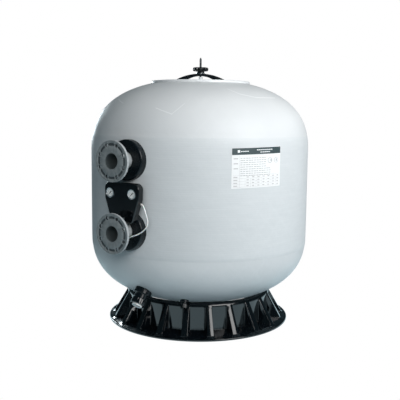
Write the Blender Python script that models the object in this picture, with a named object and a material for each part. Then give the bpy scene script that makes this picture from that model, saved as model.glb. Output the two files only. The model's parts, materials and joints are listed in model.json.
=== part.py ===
"""Commercial sand filter tank: a wound glass-fibre vessel on a moulded ring base.

A yoke and a star wheel hold the oval manhole lid on top, two flanged ports leave the front one above the
other with a gauge panel between them, and two drains sit low on the vessel.

Metres, +Z up. The origin is at the middle of the footprint, on the floor. The ports face -Y. Angles round
the tank's axis are measured from -Y towards +X.
"""

import math

import bmesh
import bpy
from mathutils import Matrix, Vector

GAP = 0.0003  # between pieces that touch

# The vessel: a straight band closed by two superelliptic heads.
AXIS_Y = 0.065  # the flanges reach further than the vessel, so its axis sits behind the origin
VESSEL_R = 0.600
VESSEL_WALL = 0.010
TOP_BASE, TOP_RISE, TOP_POWER = 0.945, 0.384, 2.45
LOW_BASE, LOW_DROP, LOW_POWER = 0.481, 0.363, 2.44
VESSEL_SIDES = 40
HEAD_STEPS = 6

# The manhole: a collar with an oval hole, closed from inside by an oval lid.
OPENING_R = 0.2325
COLLAR_R = 0.2725
COLLAR_TOP = 1.319
COLLAR_SEAT = 1.292
HOLE_LONG, HOLE_SHORT = 0.190, 0.132
LID_LONG, LID_SHORT = 0.210, 0.152
LID_LAND_LONG, LID_LAND_SHORT = 0.178, 0.122
LID_LAND_TOP = 1.301
LID_BOSS_R, LID_BOSS_TOP = 0.011, 1.344
LID_FLANGE_TOP = 1.2855
LID_BOTTOM = 1.2705
YOKE_TURN = math.radians(35)
OVAL_SIDES = 24
VENT_REACH, VENT_STEM_R, VENT_SIDES = 0.095, 0.006, 16

# The closure: yoke, washer, star wheel and threaded rod.
ROD_R = 0.006
ROD_TOP = 1.4497
ROD_TIP = 0.010
ROD_SIDES = 12
ROD_NUT_HALF, ROD_NUT_TALL = 0.011, 0.012
YOKE_TOP = 1.3617
YOKE_TOP_ARC = 0.290
YOKE_UNDER = 1.3496
YOKE_UNDER_ARC = 0.136
YOKE_REACH = 0.162
YOKE_FOOT_IN = 0.0856
YOKE_TOE = 0.0055
YOKE_HALF_MIDDLE, YOKE_HALF_END = 0.0225, 0.015
YOKE_BEVEL, YOKE_HOLE_R = 0.0018, 0.0075
WASHER_R, WASHER_HOLE_R, WASHER_THICK = 0.0235, 0.0070, 0.0025
WHEEL_HUB_R = 0.0215
WHEEL_R = 0.043
WHEEL_LOW, WHEEL_HIGH = 1.3753, 1.3971
WHEEL_LOBES = 8
BUSH_R = 0.011

# The two ports, one above the other.
PORT_HEIGHTS = {"upper": 0.915, "lower": 0.565}
PAD_R = 0.1015
PAD_FACE = 0.630  # distance from the vessel's axis, as all port distances are
PAD_EDGE = 0.009
SPIGOT_R = 0.055
SPIGOT_END = 0.545
SOCKET_FLOOR = 0.600
BORE_R = 0.038
TAIL_R = 0.042
TAIL_COLLAR_R = 0.046
FLANGE_FACE, FLANGE_THICK, FLANGE_R = 0.730, 0.018, 0.100
BOLT_COUNT, BOLT_CIRCLE_R, BOLT_HOLE_R = 8, 0.080, 0.009
NUT_R = 0.080
GASKET_THICK = 0.003
PORT_SIDES = 24
FLANGE_SIDES = 32

# The pipework inside.
PIPE_R, PIPE_WALL = 0.045, 0.005
PIPE_SIDES = 12
BEND_R = 0.075
INLET_TOP = 1.095
FUNNEL_R, FUNNEL_TOP = 0.140, 1.180
HUB_R, HUB_LOW, HUB_HIGH, HUB_FLOOR = 0.062, 0.205, 0.292, 0.010
LATERAL_COUNT, LATERAL_END, LATERAL_HEIGHT = 8, 0.400, 0.238
LATERAL_R, LATERAL_BORE_R, LATERAL_END_THICK = 0.015, 0.012, 0.004
LATERAL_SIDES = 8
OUTLET_OVERLAP = 0.024

# The gauge panel.
PANEL_X = 0.0055
PANEL_FACE, PANEL_BACK, PANEL_WALL = 0.667, 0.6315, 0.003
PANEL_CORNERS = ((0.109, 0.807, 0.030), (0.107, 0.730, 0.040), (0.0665, 0.612, 0.018))
PANEL_EDGE = 0.005
GAUGE_X, GAUGE_Z = 0.069, 0.757
GAUGE_SIDES = 16
SCREW_X, SCREW_Z = 0.0145, 0.635
NEEDLE_ZERO = math.radians(225)
GAUGE_CASE_R, GAUGE_HOLE_R = 0.0215, 0.0218
SPINDLE_R = 0.0012
PANEL_SCREW_R = 0.002

# The pressure tube, which runs from the panel's side to the lower tail.
TUBE_R = 0.003
TUBE_ROUTE = (
    (0.1112, -0.5750, 0.7072),
    (0.1183, -0.5750, 0.7046),
    (0.1275, -0.5750, 0.6900),
    (0.1360, -0.5755, 0.6690),
    (0.1465, -0.5755, 0.6430),
    (0.1503, -0.5760, 0.6240),
    (0.1440, -0.5765, 0.6020),
    (0.1193, -0.5780, 0.5769),
    (0.0890, -0.5815, 0.5590),
    (0.0670, -0.5845, 0.5505),
    (0.0572, -0.5850, 0.5479),
)
TUBE_STEP = 0.017

# The two drains near the base, each on an axis that leans outwards and down.
SAND_TURN, SAND_RADIUS, SAND_HEIGHT, SAND_DOWN = 0.0, 0.491, 0.235, math.radians(51.5)
WATER_TURN, WATER_RADIUS, WATER_DOWN = math.radians(25.4), 0.420, math.radians(62)
SAND_SPIGOT_R, SAND_BORE_R = 0.026, 0.022
WATER_SPIGOT_R, WATER_BORE_R = 0.012, 0.0075
DRAIN_SIDES = 12

# The ring base.
SKIRT_RIBS = 22
SKIRT_FIRST_RIB = math.radians(10.24)
RIB_HALF, POCKET_START = math.radians(2.0), math.radians(2.6)
RIB_INSIDE, POCKET_INSIDE = math.radians(1.4), math.radians(1.9)
SKIRT_TOP_R, SKIRT_TOP, SKIRT_FOOT_R, SKIRT_FOOT = 0.390, 0.172, 0.477, 0.023
SKIRT_FLANGE_R, SKIRT_FLANGE_THICK = 0.505, 0.010
SKIRT_WALL = 0.0055
SEAT_GAP = 0.001

# The data label.
LABEL_LEFT, LABEL_RIGHT = math.radians(49.8), math.radians(76.7)
LABEL_LOW, LABEL_HIGH = 0.790, 0.985
LABEL_SLOPE = math.radians(1.2)
LABEL_GAP, LABEL_THICK = 0.0006, 0.0006


def clear_scene():
    for old in list(bpy.data.objects):
        bpy.data.objects.remove(old, do_unlink=True)


def make_material(name, color, roughness, metallic=0.0):
    """A Principled material with a plain colour."""
    material = bpy.data.materials.new(name)
    material.use_nodes = True
    shader = material.node_tree.nodes["Principled BSDF"]
    shader.inputs["Base Color"].default_value = (*color, 1.0)
    shader.inputs["Roughness"].default_value = roughness
    shader.inputs["Metallic"].default_value = metallic
    return material


def finished(name, shape, place, material, sharp=35.0):
    """A named object made from a bmesh, shaded smooth up to an edge angle in degrees."""
    if shape.calc_volume(signed=True) < 0:
        bmesh.ops.reverse_faces(shape, faces=shape.faces[:])
    mesh = bpy.data.meshes.new(name)
    shape.to_mesh(mesh)
    shape.free()
    mesh.shade_smooth()
    mesh.set_sharp_from_angle(angle=math.radians(sharp))
    piece = bpy.data.objects.new(name, mesh)
    bpy.context.scene.collection.objects.link(piece)
    piece.matrix_world = place
    if material is not None:
        mesh.materials.append(material)
    return piece


def tool(name, shape, place):
    """A hidden solid that a Boolean uses."""
    piece = finished(name, shape, place, None)
    piece.hide_render = True
    piece.display_type = "WIRE"
    return piece


def carve(piece, other, operation="DIFFERENCE"):
    cut = piece.modifiers.new(operation.title(), "BOOLEAN")
    cut.operation = operation
    cut.object = other
    return piece


def loft(rings, closed):
    """A skin over rings of points. A ring of one point is a pole. closed joins the last to the first."""
    shape = bmesh.new()
    made = [[shape.verts.new(point) for point in ring] for ring in rings]
    pairs = list(zip(made, made[1:]))
    if closed:
        pairs.append((made[-1], made[0]))
    for near, far in pairs:
        count = max(len(near), len(far))
        if count == 1:
            continue
        for i in range(count):
            j = (i + 1) % count
            loop = (near[i % len(near)], near[j % len(near)], far[j % len(far)], far[i % len(far)])
            shape.faces.new(list(dict.fromkeys(loop)))
    for end in (made[0], made[-1]):
        if not closed and len(end) > 1:
            shape.faces.new(end)
    bmesh.ops.recalc_face_normals(shape, faces=shape.faces[:])
    return shape


def circle(radius, height, sides):
    if radius == 0:
        return [(0.0, 0.0, height)]
    turns = [2 * math.pi * i / sides for i in range(sides)]
    return [(radius * math.cos(turn), radius * math.sin(turn), height) for turn in turns]


def turned(outline, sides):
    """A solid of revolution about local Z. Its outline is (radius, height) points, axis to axis or a loop."""
    return loft([circle(radius, height, sides) for radius, height in outline], outline[0][0] > 0)


def prism(outline, low, high):
    return loft([[(x, y, z) for x, y in outline] for z in (low, high)], False)


def rounded(corners, steps=3):
    """An outline with each corner (x, y, radius) of a convex, anticlockwise polygon replaced by an arc."""
    points = []
    for i, (x, y, radius) in enumerate(corners):
        here = Vector((x, y))
        before = (Vector(corners[i - 1][:2]) - here).normalized()
        after = (Vector(corners[(i + 1) % len(corners)][:2]) - here).normalized()
        half = before.angle(after) / 2
        centre = here + (before + after).normalized() * (radius / math.sin(half))
        first = here + before * (radius / math.tan(half)) - centre
        sweep = math.pi - 2 * half
        for step in range(steps + 1):
            points.append(tuple(centre + Matrix.Rotation(sweep * step / steps, 2) @ first))
    return points


def shrunk(corners, inset):
    """The corners of a convex anticlockwise polygon whose sides have moved inwards by inset."""
    lines = []
    for i, corner in enumerate(corners):
        here, after = Vector(corner[:2]), Vector(corners[(i + 1) % len(corners)][:2])
        along = (after - here).normalized()
        lines.append((here + Vector((-along.y, along.x)) * inset, along))
    moved = []
    for i, corner in enumerate(corners):
        (a, u), (b, v) = lines[i - 1], lines[i]
        share = (b - a).cross(v) / u.cross(v)
        point = a + u * share
        moved.append((point.x, point.y, corner[2] - inset))
    return moved


def head(radius, rise, power, first_radius, steps):
    """Points (radius, height above the head's base) from first_radius out to the head's equator."""
    start = math.asin((first_radius / radius) ** (power / 2))
    points = []
    for step in range(steps + 1):
        turn = start + (math.pi / 2 - start) * step / steps
        across = radius * math.sin(turn) ** (2 / power)
        up = rise * max(math.cos(turn), 0.0) ** (2 / power)
        points.append((across, up if step < steps else 0.0))
    return points


def wall(inset):
    """The vessel outline moved in by inset, from the opening on top down the side to the lowest point."""
    radius = VESSEL_R - inset
    top = head(radius, TOP_RISE - inset, TOP_POWER, OPENING_R, HEAD_STEPS)
    low = head(radius, LOW_DROP - inset, LOW_POWER, 0.0, HEAD_STEPS)
    points = [(r, TOP_BASE + up) for r, up in top]
    return points + [(r, LOW_BASE - down) for r, down in reversed(low)]


def outer_radius(height):
    """The vessel's radius at a height at or above the middle of its side."""
    rise = max(height - TOP_BASE, 0.0) / TOP_RISE
    return VESSEL_R * (1 - rise**TOP_POWER) ** (1 / TOP_POWER)


def underside(radius):
    """The height of the vessel's bottom head at a radius."""
    return LOW_BASE - LOW_DROP * (1 - (radius / VESSEL_R) ** LOW_POWER) ** (1 / LOW_POWER)


def crown(radius):
    """The height of the vessel's top head at a radius."""
    return TOP_BASE + TOP_RISE * (1 - (radius / VESSEL_R) ** TOP_POWER) ** (1 / TOP_POWER)


def tank_solid(name, inset):
    """A hidden solid of the vessel's own shape, moved in by inset."""
    outline = [(0.0, TOP_BASE + TOP_RISE - inset)] + wall(inset)
    return tool(name, turned(outline, VESSEL_SIDES), AXIS)


def spout(turn, radius, height, down):
    """A frame whose +Z leaves the vessel at an angle round it, leaning down."""
    return (
        AXIS
        @ Matrix.Rotation(turn, 4, "Z")
        @ Matrix.Translation((0, -radius, height))
        @ Matrix.Rotation(math.pi / 2 + down, 4, "X")
    )


AXIS = Matrix.Translation((0, AXIS_Y, 0))
YOKE = AXIS @ Matrix.Rotation(YOKE_TURN, 4, "Z")
PORTS = {name: spout(0.0, 0.0, height, 0.0) for name, height in PORT_HEIGHTS.items()}
PANEL = spout(0.0, 0.0, 0.0, 0.0)
SAND = spout(SAND_TURN, SAND_RADIUS, SAND_HEIGHT, SAND_DOWN)
WATER = spout(WATER_TURN, WATER_RADIUS, underside(WATER_RADIUS), WATER_DOWN)


def make_vessel(grp):
    outline = wall(0.0) + wall(VESSEL_WALL)[::-1]
    shell = finished("vessel_shell", turned(outline, VESSEL_SIDES), AXIS, grp)
    reach = VESSEL_R + 0.05
    for name, place in PORTS.items():
        hole = prism(round_outline(SPIGOT_R + GAP, PORT_SIDES), VESSEL_R - 0.05, reach)
        carve(shell, tool(f"cut_{name}_port", hole, place))
    for name, place, radius in (("sand", SAND, SAND_SPIGOT_R), ("water", WATER, WATER_SPIGOT_R)):
        hole = prism(round_outline(radius + GAP, DRAIN_SIDES), -0.05, 0.05)
        carve(shell, tool(f"cut_{name}_drain", hole, place))


def round_outline(radius, sides):
    return [(x, y) for x, y, _ in circle(radius, 0.0, sides)]


def oval_ring(long_half, short_half, height, sides=OVAL_SIDES, lean=0.0):
    """A ring of an oval whose short axis lies at an angle lean to local X."""
    turns = [2 * math.pi * i / sides - lean for i in range(sides)]
    ring = [Vector((short_half * math.cos(turn), long_half * math.sin(turn), height)) for turn in turns]
    return [Matrix.Rotation(lean, 3, "Z") @ point for point in ring]


def make_collar(grp):
    middle = (OPENING_R + COLLAR_R) / 2
    rest = 0.0006
    neck = OPENING_R - GAP
    rings = [
        circle(COLLAR_R - 0.002, COLLAR_TOP, VESSEL_SIDES),
        circle(COLLAR_R, COLLAR_TOP - 0.002, VESSEL_SIDES),
        circle(COLLAR_R, crown(COLLAR_R) + rest, VESSEL_SIDES),
        circle(middle, crown(middle) + rest, VESSEL_SIDES),
        circle(neck, crown(OPENING_R) + rest, VESSEL_SIDES),
        circle(neck, COLLAR_SEAT, VESSEL_SIDES),
        oval_ring(HOLE_LONG, HOLE_SHORT, COLLAR_SEAT, VESSEL_SIDES, YOKE_TURN),
        oval_ring(HOLE_LONG, HOLE_SHORT, COLLAR_TOP - 0.003, VESSEL_SIDES, YOKE_TURN),
        oval_ring(HOLE_LONG + 0.003, HOLE_SHORT + 0.003, COLLAR_TOP, VESSEL_SIDES, YOKE_TURN),
    ]
    finished("manhole_collar", loft(rings, True), AXIS, grp)


def skirt_ring(rib_radius, pocket_radius, height, rib_half=RIB_HALF, pocket_start=POCKET_START):
    """A ring with two points on each rib and two at the corners of the pocket beside it."""
    pitch = 2 * math.pi / SKIRT_RIBS
    points = []
    for rib in range(SKIRT_RIBS):
        middle = SKIRT_FIRST_RIB + rib * pitch
        for angle, radius in (
            (-rib_half, rib_radius),
            (rib_half, rib_radius),
            (pocket_start, pocket_radius),
            (pitch - pocket_start, pocket_radius),
        ):
            turn = middle + angle
            points.append((radius * math.sin(turn), -radius * math.cos(turn), height))
    return points


def make_skirt(gloss):
    def cone(height):
        return SKIRT_TOP_R + (SKIRT_TOP - height) * (SKIRT_FOOT_R - SKIRT_TOP_R) / (SKIRT_TOP - SKIRT_FOOT)

    def inner(rib_radius, pocket_radius, height):
        return skirt_ring(rib_radius, pocket_radius, height, RIB_INSIDE, POCKET_INSIDE)

    lip, back, edge = 0.360, 0.400, SKIRT_FLANGE_R
    thin = SKIRT_WALL
    rings = [
        skirt_ring(lip, lip, underside(lip) - SEAT_GAP),
        skirt_ring(SKIRT_TOP_R - 0.001, SKIRT_TOP_R - 0.001, SKIRT_TOP + 0.002),
        skirt_ring(cone(0.158), cone(0.158), 0.158),
        skirt_ring(cone(0.148), back, 0.148),
        skirt_ring(cone(0.028), back + 0.004, 0.028),
        skirt_ring(cone(0.021), 0.468, 0.020),
        skirt_ring(edge, edge, SKIRT_FLANGE_THICK - 0.001),
        skirt_ring(edge, edge, 0.0),
        inner(0.492, 0.492, 0.0),
        inner(0.474, back - 0.0015, 0.0155),
        inner(cone(0.026) - thin, back - 0.0015, 0.027),
        inner(cone(0.148) - thin, back - thin, 0.148),
        inner(cone(0.160) - thin, cone(0.160) - thin, 0.158),
        inner(lip, lip, underside(lip) - SEAT_GAP - thin),
    ]
    finished("skirt", loft(rings, True), AXIS, gloss)


def make_label(paper):
    """A thin curved plate that follows the vessel's side and leans a little."""
    columns, rows = 8, 4
    middle = (LABEL_LEFT + LABEL_RIGHT) / 2

    def point(column, row, lift):
        turn = LABEL_LEFT + (LABEL_RIGHT - LABEL_LEFT) * column / columns
        height = LABEL_LOW + (LABEL_HIGH - LABEL_LOW) * row / rows
        height += (turn - middle) * VESSEL_R * math.tan(LABEL_SLOPE)
        radius = outer_radius(height) + lift
        return (radius * math.sin(turn), -radius * math.cos(turn), height)

    rings = []
    for column in range(columns + 1):
        low = [point(column, row, LABEL_GAP) for row in range(rows + 1)]
        high = [point(column, row, LABEL_GAP + LABEL_THICK) for row in range(rows + 1)]
        rings.append(low + high[::-1])
    shape = loft(rings, False)
    bmesh.ops.triangulate(shape, faces=[face for face in shape.faces if len(face.verts) > 4])
    finished("label_plate", shape, AXIS, paper)


def make_port(name, place, near_solid, seat_solids, black, grey, rubber):
    """The fittings of one port, from the nut inside the vessel out to the flange."""
    pad = turned(
        (
            (0.0, 0.575),
            (PAD_R, 0.575),
            (PAD_R, PAD_FACE - PAD_EDGE),
            (PAD_R - 0.0027, PAD_FACE - 0.0027),
            (PAD_R - PAD_EDGE, PAD_FACE),
            (0.0, PAD_FACE),
        ),
        PORT_SIDES,
    )
    spigot = prism(round_outline(SPIGOT_R, PORT_SIDES), SPIGOT_END, PAD_FACE - 0.010)
    bore = turned(
        (
            (0.0, SPIGOT_END - 0.01),
            (BORE_R, SPIGOT_END - 0.01),
            (BORE_R, SOCKET_FLOOR),
            (TAIL_R + GAP, SOCKET_FLOOR),
            (TAIL_R + GAP, PAD_FACE + 0.01),
            (0.0, PAD_FACE + 0.01),
        ),
        PORT_SIDES,
    )
    body = finished(f"{name}_port_body", pad, place, black)
    carve(body, near_solid)
    carve(body, tool(f"join_{name}_spigot", spigot, place), "UNION")
    carve(body, tool(f"cut_{name}_bore", bore, place))

    wall_face, gasket_back, nut_face = seat_solids
    ring = ((SPIGOT_R + GAP, 0.570), (NUT_R - 0.002, 0.570), (NUT_R - 0.002, 0.600), (SPIGOT_R + GAP, 0.600))
    gasket = finished(f"{name}_port_gasket", turned(ring, PORT_SIDES), place, rubber)
    carve(gasket, wall_face, "INTERSECT")
    carve(gasket, gasket_back)
    nut_outline = [
        (radius * math.cos(turn), radius * math.sin(turn))
        for turn, radius in ((math.pi / 4 * i + math.pi / 8, NUT_R) for i in range(8))
    ]
    nut = finished(f"{name}_port_nut", prism(nut_outline, 0.560, 0.600), place, black)
    carve(nut, nut_face, "INTERSECT")
    thread = prism(round_outline(SPIGOT_R + GAP, PORT_SIDES), 0.50, 0.65)
    carve(nut, tool(f"cut_{name}_nut", thread, place))

    collar = FLANGE_FACE - 0.0105
    tail = (
        (BORE_R, SOCKET_FLOOR + GAP),
        (TAIL_R, SOCKET_FLOOR + GAP),
        (TAIL_R, collar),
        (TAIL_COLLAR_R, collar),
        (TAIL_COLLAR_R, FLANGE_FACE - 0.0005),
        (BORE_R, FLANGE_FACE - 0.0005),
    )
    finished(f"{name}_tail_pipe", turned(tail, PORT_SIDES), place, grey)
    back = FLANGE_FACE - FLANGE_THICK
    flange = finished(
        f"{name}_flange",
        turned(
            (
                (TAIL_R + GAP, back),
                (FLANGE_R - 0.0015, back),
                (FLANGE_R, back + 0.0015),
                (FLANGE_R, FLANGE_FACE - 0.0015),
                (FLANGE_R - 0.0015, FLANGE_FACE),
                (TAIL_COLLAR_R + GAP, FLANGE_FACE),
                (TAIL_COLLAR_R + GAP, collar - GAP),
                (TAIL_R + GAP, collar - GAP),
            ),
            FLANGE_SIDES,
        ),
        place,
        grey,
    )
    carve(flange, tool(f"cut_{name}_bolts", bolt_holes(), place))


def bolt_holes():
    shape = bmesh.new()
    for i in range(BOLT_COUNT):
        turn = 2 * math.pi * (i + 0.5) / BOLT_COUNT
        middle = (BOLT_CIRCLE_R * math.cos(turn), BOLT_CIRCLE_R * math.sin(turn), FLANGE_FACE)
        bmesh.ops.create_cone(
            shape,
            cap_ends=True,
            segments=8,
            radius1=BOLT_HOLE_R,
            radius2=BOLT_HOLE_R,
            depth=4 * FLANGE_THICK,
            matrix=Matrix.Translation(middle),
        )
    return shape


def swept(route, outer, inner, sides=PIPE_SIDES):
    """A pipe along a route in the plane of local Y and Z."""
    rings = {outer: [], inner: []}
    for i, here in enumerate(route):
        before, after = route[max(i - 1, 0)], route[min(i + 1, len(route) - 1)]
        along = Vector((0, after[0] - before[0], after[1] - before[1])).normalized()
        side = Vector((1, 0, 0))
        up = along.cross(side)
        for radius, made in rings.items():
            turns = [2 * math.pi * k / sides for k in range(sides)]
            middle = Vector((0, here[0], here[1]))
            made.append([middle + radius * (side * math.cos(t) + up * math.sin(t)) for t in turns])
    return loft(rings[outer] + rings[inner][::-1], True)


def bent_pipe(height, end_height):
    """Route (y, z) from a port's spigot to the vessel's axis, then up or down to end_height."""
    sign = 1 if end_height > height else -1
    route = [(-(SPIGOT_END - GAP), height), (-BEND_R, height)]
    for step in range(1, 4):
        turn = math.pi / 2 * step / 4
        route.append((-BEND_R + BEND_R * math.sin(turn), height + sign * BEND_R * (1 - math.cos(turn))))
    return route + [(0.0, height + sign * BEND_R), (0.0, end_height)]


def make_pipework(white):
    inside = PIPE_R - PIPE_WALL
    inlet = bent_pipe(PORT_HEIGHTS["upper"], INLET_TOP)
    finished("inlet_pipe", swept(inlet, PIPE_R, inside), AXIS, white)
    outlet = bent_pipe(PORT_HEIGHTS["lower"], HUB_HIGH - OUTLET_OVERLAP)
    finished("outlet_pipe", swept(outlet, PIPE_R, inside), AXIS, white)
    sleeve = PIPE_R + GAP
    funnel = (
        (sleeve, INLET_TOP - 0.035),
        (sleeve + 0.007, INLET_TOP - 0.035),
        (sleeve + 0.007, INLET_TOP + 0.004),
        (FUNNEL_R + 0.003, FUNNEL_TOP - 0.004),
        (FUNNEL_R + 0.003, FUNNEL_TOP),
        (FUNNEL_R - 0.002, FUNNEL_TOP),
        (sleeve, INLET_TOP + 0.008),
    )
    finished("diffuser_funnel", turned(funnel, PIPE_SIDES), AXIS, white)
    shoulder = HUB_HIGH - OUTLET_OVERLAP - GAP
    floor = HUB_LOW + HUB_FLOOR
    hub = (
        (0.0, HUB_LOW),
        (HUB_R, HUB_LOW),
        (HUB_R, HUB_HIGH),
        (sleeve, HUB_HIGH),
        (sleeve, shoulder),
        (inside, shoulder),
        (inside, floor),
        (0.0, floor),
    )
    finished("collector_hub", turned(hub, PIPE_SIDES), AXIS, white)
    reach = LATERAL_END - HUB_R - GAP
    closed_end = reach - LATERAL_END_THICK
    lateral = (
        (0.0, reach),
        (LATERAL_R, reach),
        (LATERAL_R, 0.0),
        (LATERAL_BORE_R, 0.0),
        (LATERAL_BORE_R, closed_end),
        (0.0, closed_end),
    )
    for i in range(LATERAL_COUNT):
        place = spout(2 * math.pi * i / LATERAL_COUNT, HUB_R + GAP, LATERAL_HEIGHT, 0.0)
        finished(f"lateral_{i + 1}", turned(lateral, LATERAL_SIDES), place, white)


def make_lid(grp, rubber, steel, brass):
    """The oval lid with its gasket, the rod through it and the nut below, and the air vent beside the rod."""
    bore = ROD_R + GAP
    boss = LID_BOSS_R
    rings = [
        oval_ring(bore, bore, LID_BOSS_TOP),
        oval_ring(boss, boss, LID_BOSS_TOP),
        oval_ring(boss + 0.001, boss + 0.001, LID_BOSS_TOP - 0.019),
        oval_ring(2 * boss, 2 * boss, LID_LAND_TOP + 0.002),
        oval_ring(LID_LAND_LONG - 0.006, LID_LAND_SHORT - 0.006, LID_LAND_TOP),
        oval_ring(LID_LAND_LONG, LID_LAND_SHORT, LID_LAND_TOP - 0.005),
        oval_ring(LID_LAND_LONG, LID_LAND_SHORT, LID_FLANGE_TOP),
        oval_ring(LID_LONG, LID_SHORT, LID_FLANGE_TOP),
        oval_ring(LID_LONG, LID_SHORT, LID_BOTTOM + 0.004),
        oval_ring(LID_LONG - 0.006, LID_SHORT - 0.006, LID_BOTTOM),
        oval_ring(bore, bore, LID_BOTTOM),
    ]
    lid = finished("manhole_lid", loft(rings, True), YOKE, grp)
    vent = YOKE @ Matrix.Translation((0.0, VENT_REACH, 0.0))
    vent_hole = prism(round_outline(VENT_STEM_R + GAP, VENT_SIDES), 1.26, 1.32)
    carve(lid, tool("cut_vent", vent_hole, vent))

    seal = [
        oval_ring(LID_LAND_LONG + 0.001, LID_LAND_SHORT + 0.001, LID_FLANGE_TOP + GAP),
        oval_ring(LID_LONG - 0.001, LID_SHORT - 0.001, LID_FLANGE_TOP + GAP),
        oval_ring(LID_LONG - 0.001, LID_SHORT - 0.001, COLLAR_SEAT - GAP),
        oval_ring(LID_LAND_LONG + 0.001, LID_LAND_SHORT + 0.001, COLLAR_SEAT - GAP),
    ]
    finished("lid_gasket", loft(seal, True), YOKE, rubber)

    nut_low = LID_BOTTOM - ROD_NUT_TALL
    rod_low = nut_low - 0.006
    rod = ((0.0, rod_low), (ROD_R, rod_low), (ROD_R, ROD_TOP - ROD_TIP), (0.0, ROD_TOP))
    finished("lid_rod", turned(rod, ROD_SIDES), YOKE, steel)
    finished("rod_nut", hexagon_nut(ROD_NUT_HALF, bore, nut_low, LID_BOTTOM - GAP), YOKE, steel)

    body = (
        (0.003, 1.268),
        (VENT_STEM_R, 1.268),
        (VENT_STEM_R, 1.3026),
        (0.012, 1.3026),
        (0.012, 1.312),
        (0.0085, 1.314),
        (0.0085, 1.318),
        (0.003, 1.318),
    )
    finished("air_vent_body", turned(body, VENT_SIDES), vent, brass)
    screw = (
        (0.0, 1.300),
        (0.0027, 1.300),
        (0.0027, 1.3185),
        (0.009, 1.3185),
        (0.009, 1.3255),
        (0.0, 1.3265),
    )
    finished("air_vent_screw", turned(screw, VENT_SIDES), vent, brass)


def hexagon_nut(flats_half, bore, low, high):
    """A hexagon nut with a round hole, as a loft of its two outlines."""
    sides = ROD_SIDES
    turns = [2 * math.pi * i / sides for i in range(sides)]

    def hexagon(turn):
        sector = (turn + math.pi / 6) % (math.pi / 3) - math.pi / 6
        return flats_half / math.cos(sector)

    outer = [[(hexagon(t) * math.cos(t), hexagon(t) * math.sin(t), z) for t in turns] for z in (low, high)]
    inner = [circle(bore, z, sides) for z in (high, low)]
    return loft(outer + inner, True)


def yoke_section(x):
    """The four corners of the yoke's cross-section at x."""
    drop = YOKE_TOP_ARC - math.sqrt(YOKE_TOP_ARC**2 - x**2)
    foot = COLLAR_TOP + GAP
    top = max(YOKE_TOP - drop, foot + YOKE_TOE)
    under = foot
    if abs(x) < YOKE_FOOT_IN:
        under = max(YOKE_UNDER - (YOKE_UNDER_ARC - math.sqrt(YOKE_UNDER_ARC**2 - x**2)), foot)
    half = YOKE_HALF_MIDDLE + (YOKE_HALF_END - YOKE_HALF_MIDDLE) * abs(x) / YOKE_REACH
    return [(x, -half, under), (x, half, under), (x, half, top), (x, -half, top)]


def make_yoke(black, steel):
    inner = (0.0, 0.015, 0.030, 0.045, 0.060, 0.074, YOKE_FOOT_IN)
    outer = (0.105, 0.125, 0.140, 0.150, YOKE_REACH)
    half = inner + outer
    places = [-x for x in half[:0:-1]] + list(half)
    shape = loft([yoke_section(x) for x in places], False)
    bmesh.ops.bevel(
        shape,
        geom=[edge for edge in shape.edges if edge.calc_face_angle(0) > math.radians(60)],
        offset=YOKE_BEVEL,
        segments=1,
        profile=0.5,
        affect="EDGES",
    )
    yoke = finished("lid_yoke", shape, YOKE, black)
    carve(yoke, tool("cut_yoke", prism(round_outline(YOKE_HOLE_R, 16), 1.3, 1.4), YOKE))
    low = YOKE_TOP + GAP
    high = low + WASHER_THICK
    washer = ((WASHER_HOLE_R, low), (WASHER_R, low), (WASHER_R, high), (WASHER_HOLE_R, high))
    finished("yoke_washer", turned(washer, 16), YOKE, steel)


def make_wheel(gloss, brass):
    """A star wheel: a round hub that widens to lobes, on a threaded bush."""
    sides = WHEEL_LOBES * 4
    hub_low = YOKE_TOP + WASHER_THICK + 2 * GAP

    def star(radius, depth, height):
        points = []
        for i in range(sides):
            turn = 2 * math.pi * i / sides
            reach = radius - depth * (0.5 - 0.5 * math.cos(WHEEL_LOBES * turn)) ** 1.5
            points.append((reach * math.cos(turn), reach * math.sin(turn), height))
        return points

    bore = BUSH_R + GAP
    rings = [
        circle(bore, hub_low, sides),
        circle(WHEEL_HUB_R, hub_low, sides),
        circle(WHEEL_HUB_R, WHEEL_LOW - 0.002, sides),
        star(WHEEL_R - 0.005, 0.006, WHEEL_LOW),
        star(WHEEL_R, 0.0095, WHEEL_LOW + 0.005),
        star(WHEEL_R, 0.0095, WHEEL_HIGH - 0.006),
        star(WHEEL_R - 0.006, 0.006, WHEEL_HIGH - 0.001),
        circle(0.022, WHEEL_HIGH, sides),
        circle(bore, WHEEL_HIGH, sides),
    ]
    finished("hand_wheel", loft(rings, True), YOKE, gloss)
    bush = (
        (ROD_R + GAP, hub_low),
        (BUSH_R, hub_low),
        (BUSH_R, WHEEL_HIGH - 0.001),
        (ROD_R + GAP, WHEEL_HIGH - 0.001),
    )
    finished("wheel_bush", turned(bush, ROD_SIDES), YOKE, brass)


def panel_corners(inset):
    right = [(x, y, radius) for x, y, radius in PANEL_CORNERS]
    left = [(-x, y, radius) for x, y, radius in right]
    ring = right[::-1] + left
    return [(x + PANEL_X, y, radius) for x, y, radius in shrunk(ring, inset)]


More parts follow.
